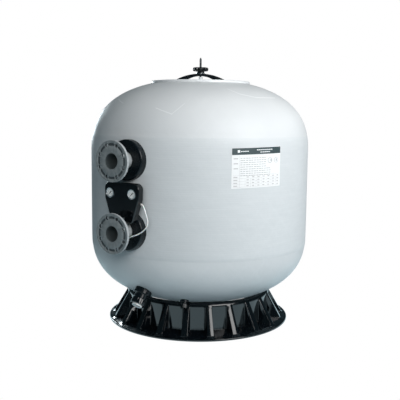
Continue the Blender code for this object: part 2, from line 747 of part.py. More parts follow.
def make_panel(tank, black, satin, steel):
    """The hollow cover, the plate that closes its back, the bracket to the vessel and one screw."""
    shape = prism(rounded(panel_corners(0.0)), PANEL_BACK, PANEL_FACE)
    front = [e for e in shape.edges if all(abs(v.co.z - PANEL_FACE) < 1e-6 for v in e.verts)]
    bmesh.ops.bevel(shape, geom=front, offset=PANEL_EDGE, segments=2, profile=0.5, affect="EDGES")
    cover = finished("panel_cover", shape, PANEL, black)
    hollow = prism(rounded(panel_corners(PANEL_WALL)), PANEL_BACK - 0.01, PANEL_FACE - PANEL_WALL)
    carve(cover, tool("cut_panel_hollow", hollow, PANEL))
    holes_at = (
        (-GAUGE_X, GAUGE_Z, GAUGE_HOLE_R),
        (GAUGE_X, GAUGE_Z, GAUGE_HOLE_R),
        (SCREW_X, SCREW_Z, PANEL_SCREW_R + 0.0002),
    )
    holes = bmesh.new()
    for x, z, radius in holes_at:
        bmesh.ops.create_cone(
            holes,
            cap_ends=True,
            segments=GAUGE_SIDES,
            radius1=radius,
            radius2=radius,
            depth=0.02,
            matrix=Matrix.Translation((PANEL_X + x, z, PANEL_FACE)),
        )
    carve(cover, tool("cut_panel_holes", holes, PANEL))

    inset = PANEL_WALL + GAP
    plate = prism(rounded(panel_corners(inset)), PANEL_BACK, PANEL_BACK + 0.0025)
    finished("panel_back", plate, PANEL, satin)
    half, leg, web = 0.055, 0.012, 0.006
    low, high = 0.676, 0.800
    foot = VESSEL_R - 0.025
    front_face = PANEL_BACK - GAP
    outline = [
        (PANEL_X - half, foot),
        (PANEL_X - half + leg, foot),
        (PANEL_X - half + leg, front_face - web),
        (PANEL_X + half - leg, front_face - web),
        (PANEL_X + half - leg, foot),
        (PANEL_X + half, foot),
        (PANEL_X + half, front_face),
        (PANEL_X - half, front_face),
    ]
    rings = [[(x, -reach, z) for x, reach in outline] for z in (low, high)]
    carve(finished("panel_bracket", loft(rings, False), AXIS, satin), tank)
    screw = (
        (0.0, PANEL_FACE - 0.012),
        (PANEL_SCREW_R, PANEL_FACE - 0.012),
        (PANEL_SCREW_R, PANEL_FACE + GAP),
        (0.005, PANEL_FACE + GAP),
        (0.0042, PANEL_FACE + 0.0025),
        (0.0, PANEL_FACE + 0.0035),
    )
    place = PANEL @ Matrix.Translation((PANEL_X + SCREW_X, SCREW_Z, 0))
    finished("panel_screw", turned(screw, 12), place, steel)


def make_gauge(side, chrome, enamel, black, clear):
    """One pressure gauge: a cup with a bezel in front and a stem behind, its dial, needle and lens."""
    sign = -1 if side == "left" else 1
    place = PANEL @ Matrix.Translation((PANEL_X + sign * GAUGE_X, GAUGE_Z, PANEL_FACE))
    case = (
        (0.0, -0.0325),
        (0.0045, -0.0325),
        (0.0045, -0.0270),
        (GAUGE_CASE_R, -0.0270),
        (GAUGE_CASE_R, GAP),
        (0.0250, GAP),
        (0.0250, 0.0052),
        (0.0238, 0.0062),
        (0.0216, 0.0062),
        (0.0208, 0.0054),
        (0.0208, 0.0040),
        (0.0198, 0.0040),
        (0.0198, -0.0002),
        (0.0165, -0.0002),
        (0.0165, -0.0240),
        (0.0, -0.0240),
    )
    finished(f"gauge_case_{side}", turned(case, GAUGE_SIDES), place, chrome)
    dial = ((0.0019, 0.0001), (0.0195, 0.0001), (0.0195, 0.0011), (0.0019, 0.0011))
    finished(f"gauge_dial_{side}", turned(dial, GAUGE_SIDES), place, enamel)
    lens = ((0.0, 0.0043), (0.0205, 0.0043), (0.0205, 0.0055), (0.0, 0.0058))
    finished(f"gauge_lens_{side}", turned(lens, GAUGE_SIDES), place, clear)
    pointer = place @ Matrix.Rotation(NEEDLE_ZERO, 4, "Z")
    side_of_blade = [(-0.0075, 0.0014), (0.0025, 0.0011), (0.0155, 0.0002)]
    blade = side_of_blade[::-1] + [(x, -y) for x, y in side_of_blade]
    needle = finished(f"gauge_needle_{side}", prism(blade, 0.0020, 0.0026), pointer, black)
    spindle = (
        (0.0, -0.0230),
        (SPINDLE_R, -0.0230),
        (SPINDLE_R, 0.0022),
        (2 * SPINDLE_R, 0.0022),
        (2 * SPINDLE_R, 0.0032),
        (0.0, 0.0032),
    )
    carve(needle, tool(f"join_spindle_{side}", turned(spindle, 12), pointer), "UNION")


def smooth_route(points, step):
    """Points about a step apart on a smooth curve through the route."""
    rows = [Vector(point) for point in points]
    rows = [2 * rows[0] - rows[1]] + rows + [2 * rows[-1] - rows[-2]]
    made = []
    for i in range(1, len(rows) - 2):
        before, here, after, beyond = rows[i - 1 : i + 3]
        count = max(1, round((after - here).length / step))
        for k in range(count):
            t = k / count
            made.append(
                0.5
                * (
                    2 * here
                    + (after - before) * t
                    + (2 * before - 5 * here + 4 * after - beyond) * t**2
                    + (3 * here - before - 3 * after + beyond) * t**3
                )
            )
    return made + [rows[-2]]


def make_tube(clear, brass):
    """The thin white pressure tube and the fittings at its two ends."""
    curve = bpy.data.curves.new("pressure_tube", "CURVE")
    curve.dimensions = "3D"
    curve.bevel_depth = TUBE_R
    curve.bevel_resolution = 2
    curve.use_fill_caps = True
    route = smooth_route(TUBE_ROUTE, TUBE_STEP)
    spline = curve.splines.new("POLY")
    spline.points.add(len(route) - 1)
    for point, place in zip(spline.points, route):
        point.co = (*place, 1.0)
    curve.materials.append(clear)
    tube = bpy.data.objects.new("pressure_tube", curve)
    bpy.context.scene.collection.objects.link(tube)
    ends = (
        ("panel", TUBE_ROUTE[0], TUBE_ROUTE[1], 0.0055, 0.0055),
        ("tail", TUBE_ROUTE[-1], TUBE_ROUTE[-2], 0.0140, 0.0050),
    )
    for name, end, onward, length, radius in ends:
        along = (Vector(onward) - Vector(end)).normalized()
        place = Matrix.Translation(end) @ along.to_track_quat("Z", "Y").to_matrix().to_4x4()
        fitting = (
            (0.0, -GAP - length),
            (radius, -GAP - length),
            (radius, -GAP - 0.001),
            (radius - 0.001, -GAP),
            (0.0, -GAP),
        )
        finished(f"tube_fitting_{name}", turned(fitting, 12), place, brass)


def make_sand_drain(tank, seats, black, gloss, white, rubber):
    """The sand drain: body through the wall, gasket and nut inside, union ring holding a plug outside."""
    bore, thread, neck = SAND_BORE_R, 0.0294, 0.033
    flange = turned(
        (
            (0.0, -0.020),
            (0.045, -0.020),
            (0.045, 0.021),
            (0.043, 0.024),
            (neck, 0.024),
            (neck, 0.0497),
            (thread, 0.0497),
            (thread, 0.066),
            (0.0, 0.066),
        ),
        DRAIN_SIDES,
    )
    body = finished("sand_drain_body", flange, SAND, black)
    carve(body, tank)
    spigot = prism(round_outline(SAND_SPIGOT_R, DRAIN_SIDES), -0.045, 0.030)
    carve(body, tool("join_sand_spigot", spigot, SAND), "UNION")
    carve(body, tool("cut_sand_bore", prism(round_outline(bore, DRAIN_SIDES), -0.06, 0.08), SAND))

    wall_face, gasket_back, nut_face = seats
    inner = SAND_SPIGOT_R + GAP
    ring = ((inner, -0.032), (0.037, -0.032), (0.037, 0.0), (inner, 0.0))
    gasket = finished("sand_drain_gasket", turned(ring, DRAIN_SIDES), SAND, rubber)
    carve(gasket, wall_face, "INTERSECT")
    carve(gasket, gasket_back)
    nut = finished("sand_drain_nut", hexagon_nut(0.036, inner, -0.038, 0.0), SAND, black)
    carve(nut, nut_face, "INTERSECT")

    plug = (
        (0.0, 0.055),
        (bore - GAP, 0.055),
        (bore - GAP, 0.0663),
        (thread, 0.0663),
        (thread, 0.0714),
        (0.0262, 0.0714),
        (0.0262, 0.0865),
        (0.0251, 0.0880),
        (0.0, 0.0880),
    )
    finished("sand_drain_plug", turned(plug, DRAIN_SIDES), SAND, white)
    union = (
        (0.0308, 0.0500),
        (0.0370, 0.0500),
        (0.0380, 0.0515),
        (0.0380, 0.0780),
        (0.0365, 0.0800),
        (0.0275, 0.0800),
        (0.0275, 0.0717),
        (0.0308, 0.0717),
    )
    finished("sand_drain_ring", turned(union, DRAIN_SIDES), SAND, gloss)


def make_water_drain(tank, black, gloss, rubber):
    """The small water drain: body, seal and cap."""
    flange = turned(
        (
            (0.0, -0.008),
            (0.022, -0.008),
            (0.022, 0.010),
            (0.021, 0.011),
            (0.014, 0.011),
            (0.014, 0.0185),
            (0.0115, 0.0185),
            (0.0115, 0.0340),
            (0.0, 0.0340),
        ),
        DRAIN_SIDES,
    )
    body = finished("water_drain_body", flange, WATER, black)
    carve(body, tank)
    spigot = prism(round_outline(WATER_SPIGOT_R, DRAIN_SIDES), -0.030, 0.012)
    carve(body, tool("join_water_spigot", spigot, WATER), "UNION")
    carve(body, tool("cut_water_bore", prism(round_outline(WATER_BORE_R, DRAIN_SIDES), -0.05, 0.05), WATER))
    seal = ((0.0, 0.0343), (0.0118, 0.0343), (0.0118, 0.0363), (0.0, 0.0363))
    finished("water_drain_seal", turned(seal, DRAIN_SIDES), WATER, rubber)
    cap = (
        (0.0, 0.0366),
        (0.0123, 0.0366),
        (0.0123, 0.0190),
        (0.0175, 0.0190),
        (0.0180, 0.0200),
        (0.0180, 0.0410),
        (0.0165, 0.0430),
        (0.0, 0.0430),
    )
    finished("water_drain_cap", turned(cap, DRAIN_SIDES), WATER, gloss)


def main():
    clear_scene()
    grp = make_material("glass_fibre", (0.62, 0.66, 0.68), 0.35)
    light_grp = make_material("collar_moulding", (0.74, 0.77, 0.78), 0.40)
    black = make_material("black_moulding", (0.012, 0.015, 0.020), 0.35)
    gloss = make_material("gloss_black", (0.008, 0.010, 0.014), 0.18)
    grey = make_material("grey_pvc", (0.20, 0.22, 0.22), 0.45)
    white = make_material("white_plastic", (0.80, 0.80, 0.78), 0.40)
    rubber = make_material("rubber", (0.03, 0.03, 0.03), 0.80)
    steel = make_material("stainless", (0.45, 0.45, 0.46), 0.30, 1.0)
    brass = make_material("brass", (0.70, 0.55, 0.28), 0.35, 1.0)
    chrome = make_material("chrome", (0.80, 0.80, 0.80), 0.12, 1.0)
    clear = make_material("lens", (0.90, 0.92, 0.92), 0.05)
    paper = make_material("label", (0.80, 0.82, 0.82), 0.50)

    near = tank_solid("tank_outside", -GAP)
    seats = (
        tank_solid("tank_inside", VESSEL_WALL + GAP),
        tank_solid("tank_gasket", VESSEL_WALL + GAP + GASKET_THICK),
        tank_solid("tank_nut", VESSEL_WALL + 2 * GAP + GASKET_THICK),
    )
    make_vessel(grp)
    make_collar(light_grp)
    make_skirt(gloss)
    make_label(paper)
    for name, place in PORTS.items():
        make_port(name, place, near, seats, black, grey, rubber)
    make_pipework(white)
    make_lid(grp, rubber, steel, brass)
    make_yoke(black, steel)
    make_wheel(gloss, brass)
    make_panel(near, gloss, black, steel)
    for side in ("left", "right"):
        make_gauge(side, chrome, white, black, clear)
    make_tube(white, brass)
    make_sand_drain(near, seats, black, gloss, white, rubber)
    make_water_drain(near, black, gloss, rubber)


main()
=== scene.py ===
"""Looks of the sand filter tank: fine shells and moulded pieces, their materials, studio and camera."""

import json
import math

import bmesh
import bpy
from mathutils import Matrix, Vector


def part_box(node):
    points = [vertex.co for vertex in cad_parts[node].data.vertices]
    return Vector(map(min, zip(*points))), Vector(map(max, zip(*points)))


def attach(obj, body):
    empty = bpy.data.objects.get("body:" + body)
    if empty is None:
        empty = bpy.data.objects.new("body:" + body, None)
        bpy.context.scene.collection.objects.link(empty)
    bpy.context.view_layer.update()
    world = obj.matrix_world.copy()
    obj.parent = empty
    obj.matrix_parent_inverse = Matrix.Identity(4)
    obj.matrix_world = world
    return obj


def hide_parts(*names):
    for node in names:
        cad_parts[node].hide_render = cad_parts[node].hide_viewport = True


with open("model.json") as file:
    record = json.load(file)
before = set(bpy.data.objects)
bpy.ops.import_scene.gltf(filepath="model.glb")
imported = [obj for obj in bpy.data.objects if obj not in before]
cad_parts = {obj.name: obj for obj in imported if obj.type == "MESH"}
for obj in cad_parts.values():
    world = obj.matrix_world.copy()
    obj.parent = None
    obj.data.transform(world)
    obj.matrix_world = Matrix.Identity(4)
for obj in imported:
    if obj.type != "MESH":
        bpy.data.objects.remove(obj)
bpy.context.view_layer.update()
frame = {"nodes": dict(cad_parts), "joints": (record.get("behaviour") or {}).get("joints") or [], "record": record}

# ---------------------------------------------------------------------------------------------------------
# Places and sizes, read from the frame


def middle(node):
    low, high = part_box(node)
    return (Vector(low) + Vector(high)) / 2


def joint(name):
    return next(entry for entry in frame["joints"] if entry["name"] == name)


def half_width(node):
    low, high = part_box(node)
    return (high[0] - low[0]) / 2


AXIS_Y = middle("vessel_shell").y
VESSEL_R = half_width("vessel_shell")
VESSEL_WALL = 0.010
TOP_BASE, TOP_RISE, TOP_POWER = 0.945, 0.384, 2.45
LOW_BASE, LOW_DROP, LOW_POWER = 0.481, 0.363, 2.44
SEAM_HIGH, SEAM_LOW, SEAM_STEP = 1.030, 0.430, 0.0009
OPENING_R = 0.2325

COLLAR_R = half_width("manhole_collar")
COLLAR_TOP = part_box("manhole_collar")[1][2]
COLLAR_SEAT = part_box("manhole_collar")[0][2]
HOLE_LONG, HOLE_SHORT = 0.190, 0.132
YOKE_TURN = math.radians(35)

PORT_HEIGHTS = {name: middle(f"{name}_flange").z for name in ("upper", "lower")}
PAD_R = half_width("upper_port_body")
PAD_FACE = AXIS_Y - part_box("upper_port_body")[0][1]
FLANGE_FACE = AXIS_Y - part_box("upper_flange")[0][1]
FLANGE_BACK = AXIS_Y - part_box("upper_flange")[1][1]
FLANGE_R = half_width("upper_flange")
SPIGOT_R, SPIGOT_END = 0.055, 0.545
BORE_R, TAIL_R, TAIL_COLLAR_R = 0.038, 0.042, 0.046
BOLT_COUNT, BOLT_CIRCLE_R, BOLT_HOLE_R = 8, 0.080, 0.009

GAP = 0.0003
AXIS = Matrix.Translation((0, AXIS_Y, 0))
YOKE = AXIS @ Matrix.Rotation(YOKE_TURN, 4, "Z")
FRONT = AXIS @ Matrix.Rotation(math.pi / 2, 4, "X")  # local Z runs out of the ports, local Y is up
PORTS = {name: FRONT @ Matrix.Translation((0, height, 0)) for name, height in PORT_HEIGHTS.items()}


def along_joint(name, setback):
    """A frame on a drain's axis, its origin set back from the joint's point to the vessel's surface."""
    entry = joint(name)
    axis = Vector(entry["axis"]).normalized()
    origin = Vector(entry["pos_m"]) - axis * setback
    return Matrix.Translation(origin) @ axis.to_track_quat("Z", "Y").to_matrix().to_4x4()


SAND = along_joint("sand_ring_turn", 0.065)
WATER = along_joint("water_cap_turn", 0.030)

SLOT_OF = {entry["node"]: entry["material_slot"] for entry in frame["record"]["subparts"]}
BODY_OF = {
    node: body for body, members in frame["record"]["behaviour"]["bodies"].items() for node in members
}

# ---------------------------------------------------------------------------------------------------------
# Camera


def make_camera():
    """The camera stands 35 degrees round from the ports, a little above the vessel's middle, looking down."""
    distance, side, height = 3.8356, 0.0044, 1.1464
    pitch, roll = 0.1266, 0.0105
    focal_in_widths = 683.14 / 400
    data = bpy.data.cameras.new("camera")
    data.sensor_width = 36.0
    data.lens = data.sensor_width * focal_in_widths
    data.clip_end = 200.0
    camera = bpy.data.objects.new("camera", data)
    bpy.context.scene.collection.objects.link(camera)
    camera.matrix_world = (
        YOKE
        @ Matrix.Translation((side, -distance, height))
        @ Matrix.Rotation(math.pi / 2 - pitch, 4, "X")
        @ Matrix.Rotation(roll, 4, "Z")
    )
    bpy.context.scene.camera = camera


# ---------------------------------------------------------------------------------------------------------
# Materials


class Paint:
    """A Principled material with helpers for the textures that vary its colour, gloss and surface."""

    def __init__(self, name, color, roughness, **values):
        self.material = bpy.data.materials.new(name)
        self.material.use_nodes = True
        self.tree = self.material.node_tree
        self.shader = self.tree.nodes["Principled BSDF"]
        self.set("Base Color", (*color, 1.0))
        self.set("Roughness", roughness)
        for socket, value in values.items():
            self.set(socket.replace("_", " ").capitalize(), value)
        self.color = color
        self.roughness = roughness
        self.where = self.tree.nodes.new("ShaderNodeTexCoord").outputs["Object"]
        self.height = None

    def set(self, socket, value):
        names = {name.lower(): name for name in self.shader.inputs.keys()}
        self.shader.inputs[names[socket.lower()]].default_value = value

    def node(self, kind, **inputs):
        made = self.tree.nodes.new(kind)
        for key, value in inputs.items():
            self.feed(made, key.replace("_", " ").title(), value)
        return made

    def feed(self, node, socket, value):
        if isinstance(value, bpy.types.NodeSocket):
            self.tree.links.new(value, node.inputs[socket])
        else:
            node.inputs[socket].default_value = value

    def math(self, operation, first, second=0.0, third=0.0):
        made = self.tree.nodes.new("ShaderNodeMath")
        made.operation = operation
        for index, value in enumerate((first, second, third)):
            self.feed(made, index, value)
        return made.outputs[0]

    def noise(self, scale, detail=3.0, rough=0.5, vector=None, stretch=None):
        """A noise value from 0 to 1. stretch scales the place it is read at along X, Y and Z."""
        place = vector or self.where
        if stretch:
            mapping = self.tree.nodes.new("ShaderNodeMapping")
            mapping.inputs["Scale"].default_value = stretch
            self.tree.links.new(place, mapping.inputs["Vector"])
            place = mapping.outputs["Vector"]
        made = self.node("ShaderNodeTexNoise", scale=scale, detail=detail, roughness=rough, vector=place)
        return made.outputs["Fac"]

    def ramp(self, value, stops):
        """A colour ramp over (position, (r, g, b)) stops."""
        made = self.tree.nodes.new("ShaderNodeValToRGB")
        elements = made.color_ramp.elements
        while len(elements) < len(stops):
            elements.new(0.5)
        for element, (position, color) in zip(elements, stops):
            element.position = position
            element.color = (*color, 1.0)
        self.tree.links.new(value, made.inputs["Fac"])
        return made.outputs["Color"]

    def span(self, value, low, high, to_low, to_high):
        made = self.tree.nodes.new("ShaderNodeMapRange")
        for index, number in enumerate((value, low, high, to_low, to_high)):
            self.feed(made, index, number)
        return made.outputs["Result"]

    def mix(self, share, first, second):
        """A colour mixed from two by share."""
        made = self.tree.nodes.new("ShaderNodeMix")
        made.data_type = "RGBA"
        self.feed(made, 0, share)
        for index, value in ((6, first), (7, second)):
            self.feed(made, index, value if isinstance(value, bpy.types.NodeSocket) else (*value, 1.0))
        return made.outputs[2]

    def colored(self, socket):
        self.tree.links.new(socket, self.shader.inputs["Base Color"])
        return self

    def mottled(self, scale, amount, detail=4.0):
        """The base colour lightened and darkened by amount in soft patches."""
        dark = tuple(channel * (1 - amount) for channel in self.color)
        light = tuple(min(channel * (1 + amount), 1.0) for channel in self.color)
        return self.colored(self.ramp(self.noise(scale, detail), ((0.30, dark), (0.70, light))))

    def uneven(self, scale, amount, stretch=None):
        """The roughness varied by amount either way."""
        value = self.noise(scale, 4.0, stretch=stretch)
        result = self.span(value, 0.3, 0.7, max(self.roughness - amount, 0.02), self.roughness + amount)
        self.tree.links.new(result, self.shader.inputs["Roughness"])
        return self

    def bumped(self, value, depth):
        """The surface raised by value times depth, in metres, on top of any bump before it."""
        made = self.tree.nodes.new("ShaderNodeBump")
        made.inputs["Strength"].default_value = 1.0
        made.inputs["Distance"].default_value = depth
        self.tree.links.new(value, made.inputs["Height"])
        if self.height is not None:
            self.tree.links.new(self.height, made.inputs["Normal"])
        self.height = made.outputs["Normal"]
        self.tree.links.new(self.height, self.shader.inputs["Normal"])
        return self

    def polar(self):
        """(angle round local Z from -Y, height) of the place."""
        split = self.tree.nodes.new("ShaderNodeSeparateXYZ")
        self.tree.links.new(self.where, split.inputs[0])
        back = self.math("MULTIPLY", split.outputs["Y"], -1.0)
        return self.math("ARCTAN2", split.outputs["X"], back), split.outputs["Z"]


def stripe(paint, value, centre, half, soft):
    """1 where value is within half of centre, fading to 0 over soft."""
    away = paint.math("ABSOLUTE", paint.math("SUBTRACT", value, centre))
    return paint.span(away, half, half + soft, 1.0, 0.0)


def glass_fibre():
    """Satin wound glass fibre: a band of hoop and helical winding between two smoother heads."""
    paint = Paint("glass_fibre", (0.57, 0.60, 0.615), 0.50, coat_weight=0.08, coat_roughness=0.40)
    angle, height = paint.polar()
    in_band = paint.math(
        "MULTIPLY",
        paint.span(height, SEAM_LOW - 0.001, SEAM_LOW + 0.001, 0.0, 1.0),
        paint.span(height, SEAM_HIGH - 0.001, SEAM_HIGH + 0.001, 1.0, 0.0),
    )
    patches = paint.noise(2.3, 4.0)
    streaks = paint.noise(7.0, 5.0, 0.6, stretch=(1.0, 1.0, 9.0))
    head = paint.ramp(patches, ((0.30, (0.575, 0.592, 0.602)), (0.70, (0.635, 0.648, 0.655))))
    band = paint.ramp(streaks, ((0.25, (0.560, 0.582, 0.594)), (0.75, (0.605, 0.624, 0.634))))
    wobble = paint.math("MULTIPLY", paint.noise(1.7, 2.0), 0.10)
    turns = 38.0
    slope = 2 * math.pi / 0.62
    crossing = None
    for sign in (1.0, -1.0):
        phase = paint.math("ADD", paint.math("MULTIPLY", height, sign * slope * 6.0), wobble)
        wave = paint.math("SINE", paint.math("ADD", paint.math("MULTIPLY", angle, turns), phase))
        tow = paint.span(wave, 0.55, 0.98, 0.0, 1.0)
        crossing = tow if crossing is None else paint.math("MAXIMUM", crossing, tow)
    faint = paint.math("MULTIPLY", crossing, paint.span(paint.noise(3.1, 2.0), 0.45, 0.75, 0.0, 0.07))
    color = paint.mix(in_band, head, band)
    # Painted shade: the colour is mixed towards a darker grey lower down the vessel.
    painted_low_shade = paint.span(height, 0.35, 1.05, 0.14, 0.0)
    color = paint.mix(painted_low_shade, color, (0.30, 0.34, 0.36))
    color = paint.mix(faint, color, (0.80, 0.82, 0.83))
    color = paint.mix(scratches(paint, angle, height), color, (0.93, 0.94, 0.945))
    paint.colored(color)
    hoops = paint.math("SINE", paint.math("MULTIPLY", height, 2 * math.pi / 0.011))
    hoop_height = paint.math("MULTIPLY", paint.math("MULTIPLY", hoops, in_band), 0.5)
    paint.bumped(paint.noise(5.0, 3.0), 0.0040)
    paint.bumped(paint.noise(60.0, 3.0), 0.0004)
    paint.bumped(crossing, 0.00008)
    paint.bumped(hoop_height, 0.00010)
    paint.uneven(9.0, 0.07)
    return paint.material


def scratches(paint, angle, height):
    """Pale lines where the last turns of roving end, each from one (angle in degrees, height) to another."""
    lines = (
        (11.1, 1.1685, 20.7, 1.1404),
        (20.7, 1.1404, 26.2, 1.1889),
        (-28.3, 1.2150, -16.2, 1.1931),
        (55.9, 1.2676, 61.9, 1.2426),
        (61.9, 1.2426, 72.2, 1.2267),
        (72.2, 1.2267, 92.2, 1.2279),
    )
    total = None
    for degrees_a, height_a, degrees_b, height_b in lines:
        angle_a, angle_b = math.radians(degrees_a), math.radians(degrees_b)
        slope = (height_b - height_a) / (angle_b - angle_a)
        line = paint.math("MULTIPLY_ADD", paint.math("SUBTRACT", angle, angle_a), slope, height_a)
        on_line = stripe(paint, paint.math("SUBTRACT", height, line), 0.0, 0.0008, 0.0022)
        centre, half = (angle_a + angle_b) / 2, (angle_b - angle_a) / 2
        mark = paint.math("MULTIPLY", on_line, stripe(paint, angle, centre, half, 0.01))
        total = mark if total is None else paint.math("MAXIMUM", total, mark)
    return paint.math("MULTIPLY", total, 0.38)


def from_axis(paint):
    """(distance from local Z, height) of the place."""
    split = paint.tree.nodes.new("ShaderNodeSeparateXYZ")
    paint.tree.links.new(paint.where, split.inputs[0])
    square = paint.math("POWER", split.outputs["X"], 2.0)
    reach = paint.math("SQRT", paint.math("ADD", square, paint.math("POWER", split.outputs["Y"], 2.0)))
    return reach, split.outputs["Z"]


def flange_pvc():
    """Grey PVC, with painted shade in its holes and recesses and a painted highlight round the rim."""
    paint = Paint("flange_pvc", (0.19, 0.21, 0.215), 0.40)
    reach, height = from_axis(paint)
    grain = paint.ramp(paint.noise(35.0, 4.0), ((0.3, (0.165, 0.185, 0.190)), (0.7, (0.215, 0.235, 0.240))))
    # Painted shade: the holes and recesses below the face are coloured near black.
    painted_recess_shade = paint.math(
        "MULTIPLY",
        paint.span(height, FLANGE_FACE - 0.0030, FLANGE_FACE - 0.0015, 1.0, 0.0),
        paint.span(reach, FLANGE_R - 0.006, FLANGE_R - 0.004, 1.0, 0.0),
    )
    # Painted highlight: the outer rim is coloured paler.
    rim = paint.span(reach, FLANGE_R - 0.0012, FLANGE_R - 0.0004, 0.0, 1.0)
    color = paint.mix(painted_recess_shade, grain, (0.055, 0.065, 0.070))
    paint.colored(paint.mix(rim, color, (0.34, 0.36, 0.37)))
    paint.bumped(paint.noise(380.0, 3.0), 0.00008)
    return paint.uneven(40.0, 0.09).material


def pipe_pvc():
    """Pale grey PVC pipe, with painted shade in its bore."""
    paint = Paint("pipe_pvc", (0.34, 0.36, 0.365), 0.36)
    reach, height = from_axis(paint)
    grain = paint.ramp(paint.noise(25.0, 4.0), ((0.3, (0.32, 0.34, 0.345)), (0.7, (0.37, 0.39, 0.395))))
    lip = paint.span(height, FLANGE_FACE - 0.004, FLANGE_FACE - 0.002, 0.0, 1.0)
    on_face = paint.math("MULTIPLY", lip, paint.span(reach, BORE_R + 0.0005, BORE_R + 0.0015, 0.0, 1.0))
    # Painted shade: the bore is coloured near black.
    painted_bore_shade = paint.span(reach, BORE_R + 0.0004, BORE_R + 0.0012, 1.0, 0.0)
    color = paint.mix(on_face, grain, (0.19, 0.21, 0.215))
    paint.colored(paint.mix(painted_bore_shade, color, (0.055, 0.066, 0.068)))
    paint.bumped(paint.noise(60.0, 3.0, stretch=(4.0, 4.0, 0.3)), 0.0003)
    return paint.uneven(30.0, 0.08).material


def plain(name, color, roughness, mottle, bumps, gloss=None, **values):
    """A paint with soft patches of colour, one or two sizes of bump, and a gloss that varies."""
    paint = Paint(name, color, roughness, **values)
    paint.mottled(*mottle)
    for scale, detail, depth, *stretch in bumps:
        paint.bumped(paint.noise(scale, detail, stretch=stretch[0] if stretch else None), depth)
    if gloss:
        paint.uneven(*gloss)
    return paint.material


def plain_paints():
    """The paints that need no pattern, by material slot."""
    return {
        "collar_moulding": plain(
            "collar_moulding", (0.66, 0.68, 0.69), 0.36, (9.0, 0.05), ((45.0, 3.0, 0.0005),), (14.0, 0.06),
            coat_weight=0.2, coat_roughness=0.25,
        ),
        "black_moulding": plain(
            "black_moulding", (0.0030, 0.0055, 0.0075), 0.26, (22.0, 0.25),
            ((700.0, 2.0, 0.00005), (18.0, 2.0, 0.0006)), (30.0, 0.08), specular_ior_level=0.30,
        ),
        "gloss_black": plain(
            "gloss_black", (0.0016, 0.0028, 0.0040), 0.10, (12.0, 0.25),
            ((14.0, 2.0, 0.0010), (420.0, 2.0, 0.00003)), (20.0, 0.06), specular_ior_level=0.50,
        ),
        "grey_pvc": plain(
            "grey_pvc", (0.20, 0.215, 0.22), 0.40, (35.0, 0.10),
            ((380.0, 3.0, 0.00008), (30.0, 2.0, 0.0004)), (40.0, 0.09),
        ),
        "white_plastic": plain(
            "white_plastic", (0.78, 0.79, 0.78), 0.32, (30.0, 0.03), ((300.0, 2.0, 0.00005),), (25.0, 0.06),
            subsurface_weight=0.05, coat_weight=0.2,
        ),
        "rubber": plain(
            "rubber", (0.022, 0.022, 0.022), 0.75, (40.0, 0.2), ((500.0, 3.0, 0.0001),), (60.0, 0.10)
        ),
        "stainless": plain(
            "stainless", (0.42, 0.43, 0.44), 0.30, (120.0, 0.12), ((300.0, 3.0, 0.00004, (0.2, 0.2, 6.0)),),
            (200.0, 0.10), metallic=1.0, anisotropic=0.3,
        ),
        "brass": plain(
            "nickel_plated_brass", (0.42, 0.41, 0.37), 0.34, (90.0, 0.12), ((500.0, 3.0, 0.00003),),
            (120.0, 0.10), metallic=1.0,
        ),
        "chrome": plain(
            "chrome", (0.78, 0.79, 0.80), 0.14, (60.0, 0.04), ((200.0, 2.0, 0.00003),), (80.0, 0.05),
            metallic=1.0,
        ),
        "lens": plain(
            "gauge_glass", (0.90, 0.93, 0.93), 0.04, (40.0, 0.02), ((120.0, 2.0, 0.00001),),
            alpha=0.06, specular_ior_level=0.7,
        ),
        "label": plain(
            "label_vinyl", (0.78, 0.785, 0.785), 0.40, (20.0, 0.02), ((12.0, 2.0, 0.0006),), (30.0, 0.05),
            coat_weight=0.1, coat_roughness=0.3,
        ),
    }


def tube_plastic():
    return plain(
        "tube_plastic", (0.80, 0.81, 0.80), 0.28, (60.0, 0.04), ((250.0, 2.0, 0.00005),), (50.0, 0.06),
        subsurface_weight=0.2, subsurface_scale=0.002,
    )


def rod_steel():
    return plain(
        "rod_steel", (0.16, 0.17, 0.18), 0.34, (150.0, 0.2), ((900.0, 2.0, 0.00002),), (200.0, 0.10),
        metallic=1.0,
    )


def enamel():
    return plain(
        "dial_enamel", (0.84, 0.85, 0.84), 0.35, (80.0, 0.02), ((600.0, 2.0, 0.00001),), (90.0, 0.05)
    )


def ink(name, color):
    return plain(name, color, 0.42, (150.0, 0.06), ((900.0, 2.0, 0.00001),), (120.0, 0.05))


# ---------------------------------------------------------------------------------------------------------
# Shapes


def finished(name, shape, place, material, sharp=32.0):
    """A named object made from a bmesh, faces outwards, shaded smooth up to an edge angle in degrees."""
    if shape.calc_volume(signed=True) < 0:
        bmesh.ops.reverse_faces(shape, faces=shape.faces[:])
    mesh = bpy.data.meshes.new(name)
    shape.to_mesh(mesh)
    shape.free()
    mesh.shade_smooth()
    mesh.set_sharp_from_angle(angle=math.radians(sharp))
    piece = bpy.data.objects.new(name, mesh)
    bpy.context.scene.collection.objects.link(piece)
    piece.matrix_world = place
    if material is not None:
        mesh.materials.append(material)
    return piece


def loft(rings, closed):
    """A skin over rings of points. A ring of one point is a pole. closed joins the last to the first."""
    shape = bmesh.new()
    made = [[shape.verts.new(point) for point in ring] for ring in rings]
    pairs = list(zip(made, made[1:]))
    if closed:
        pairs.append((made[-1], made[0]))
    for near, far in pairs:
        count = max(len(near), len(far))
        if count == 1:
            continue
        for i in range(count):
            j = (i + 1) % count
            loop = (near[i % len(near)], near[j % len(near)], far[j % len(far)], far[i % len(far)])
            shape.faces.new(list(dict.fromkeys(loop)))
    for end in (made[0], made[-1]):
        if not closed and len(end) > 1:
            shape.faces.new(end)
    bmesh.ops.recalc_face_normals(shape, faces=shape.faces[:])
    return shape


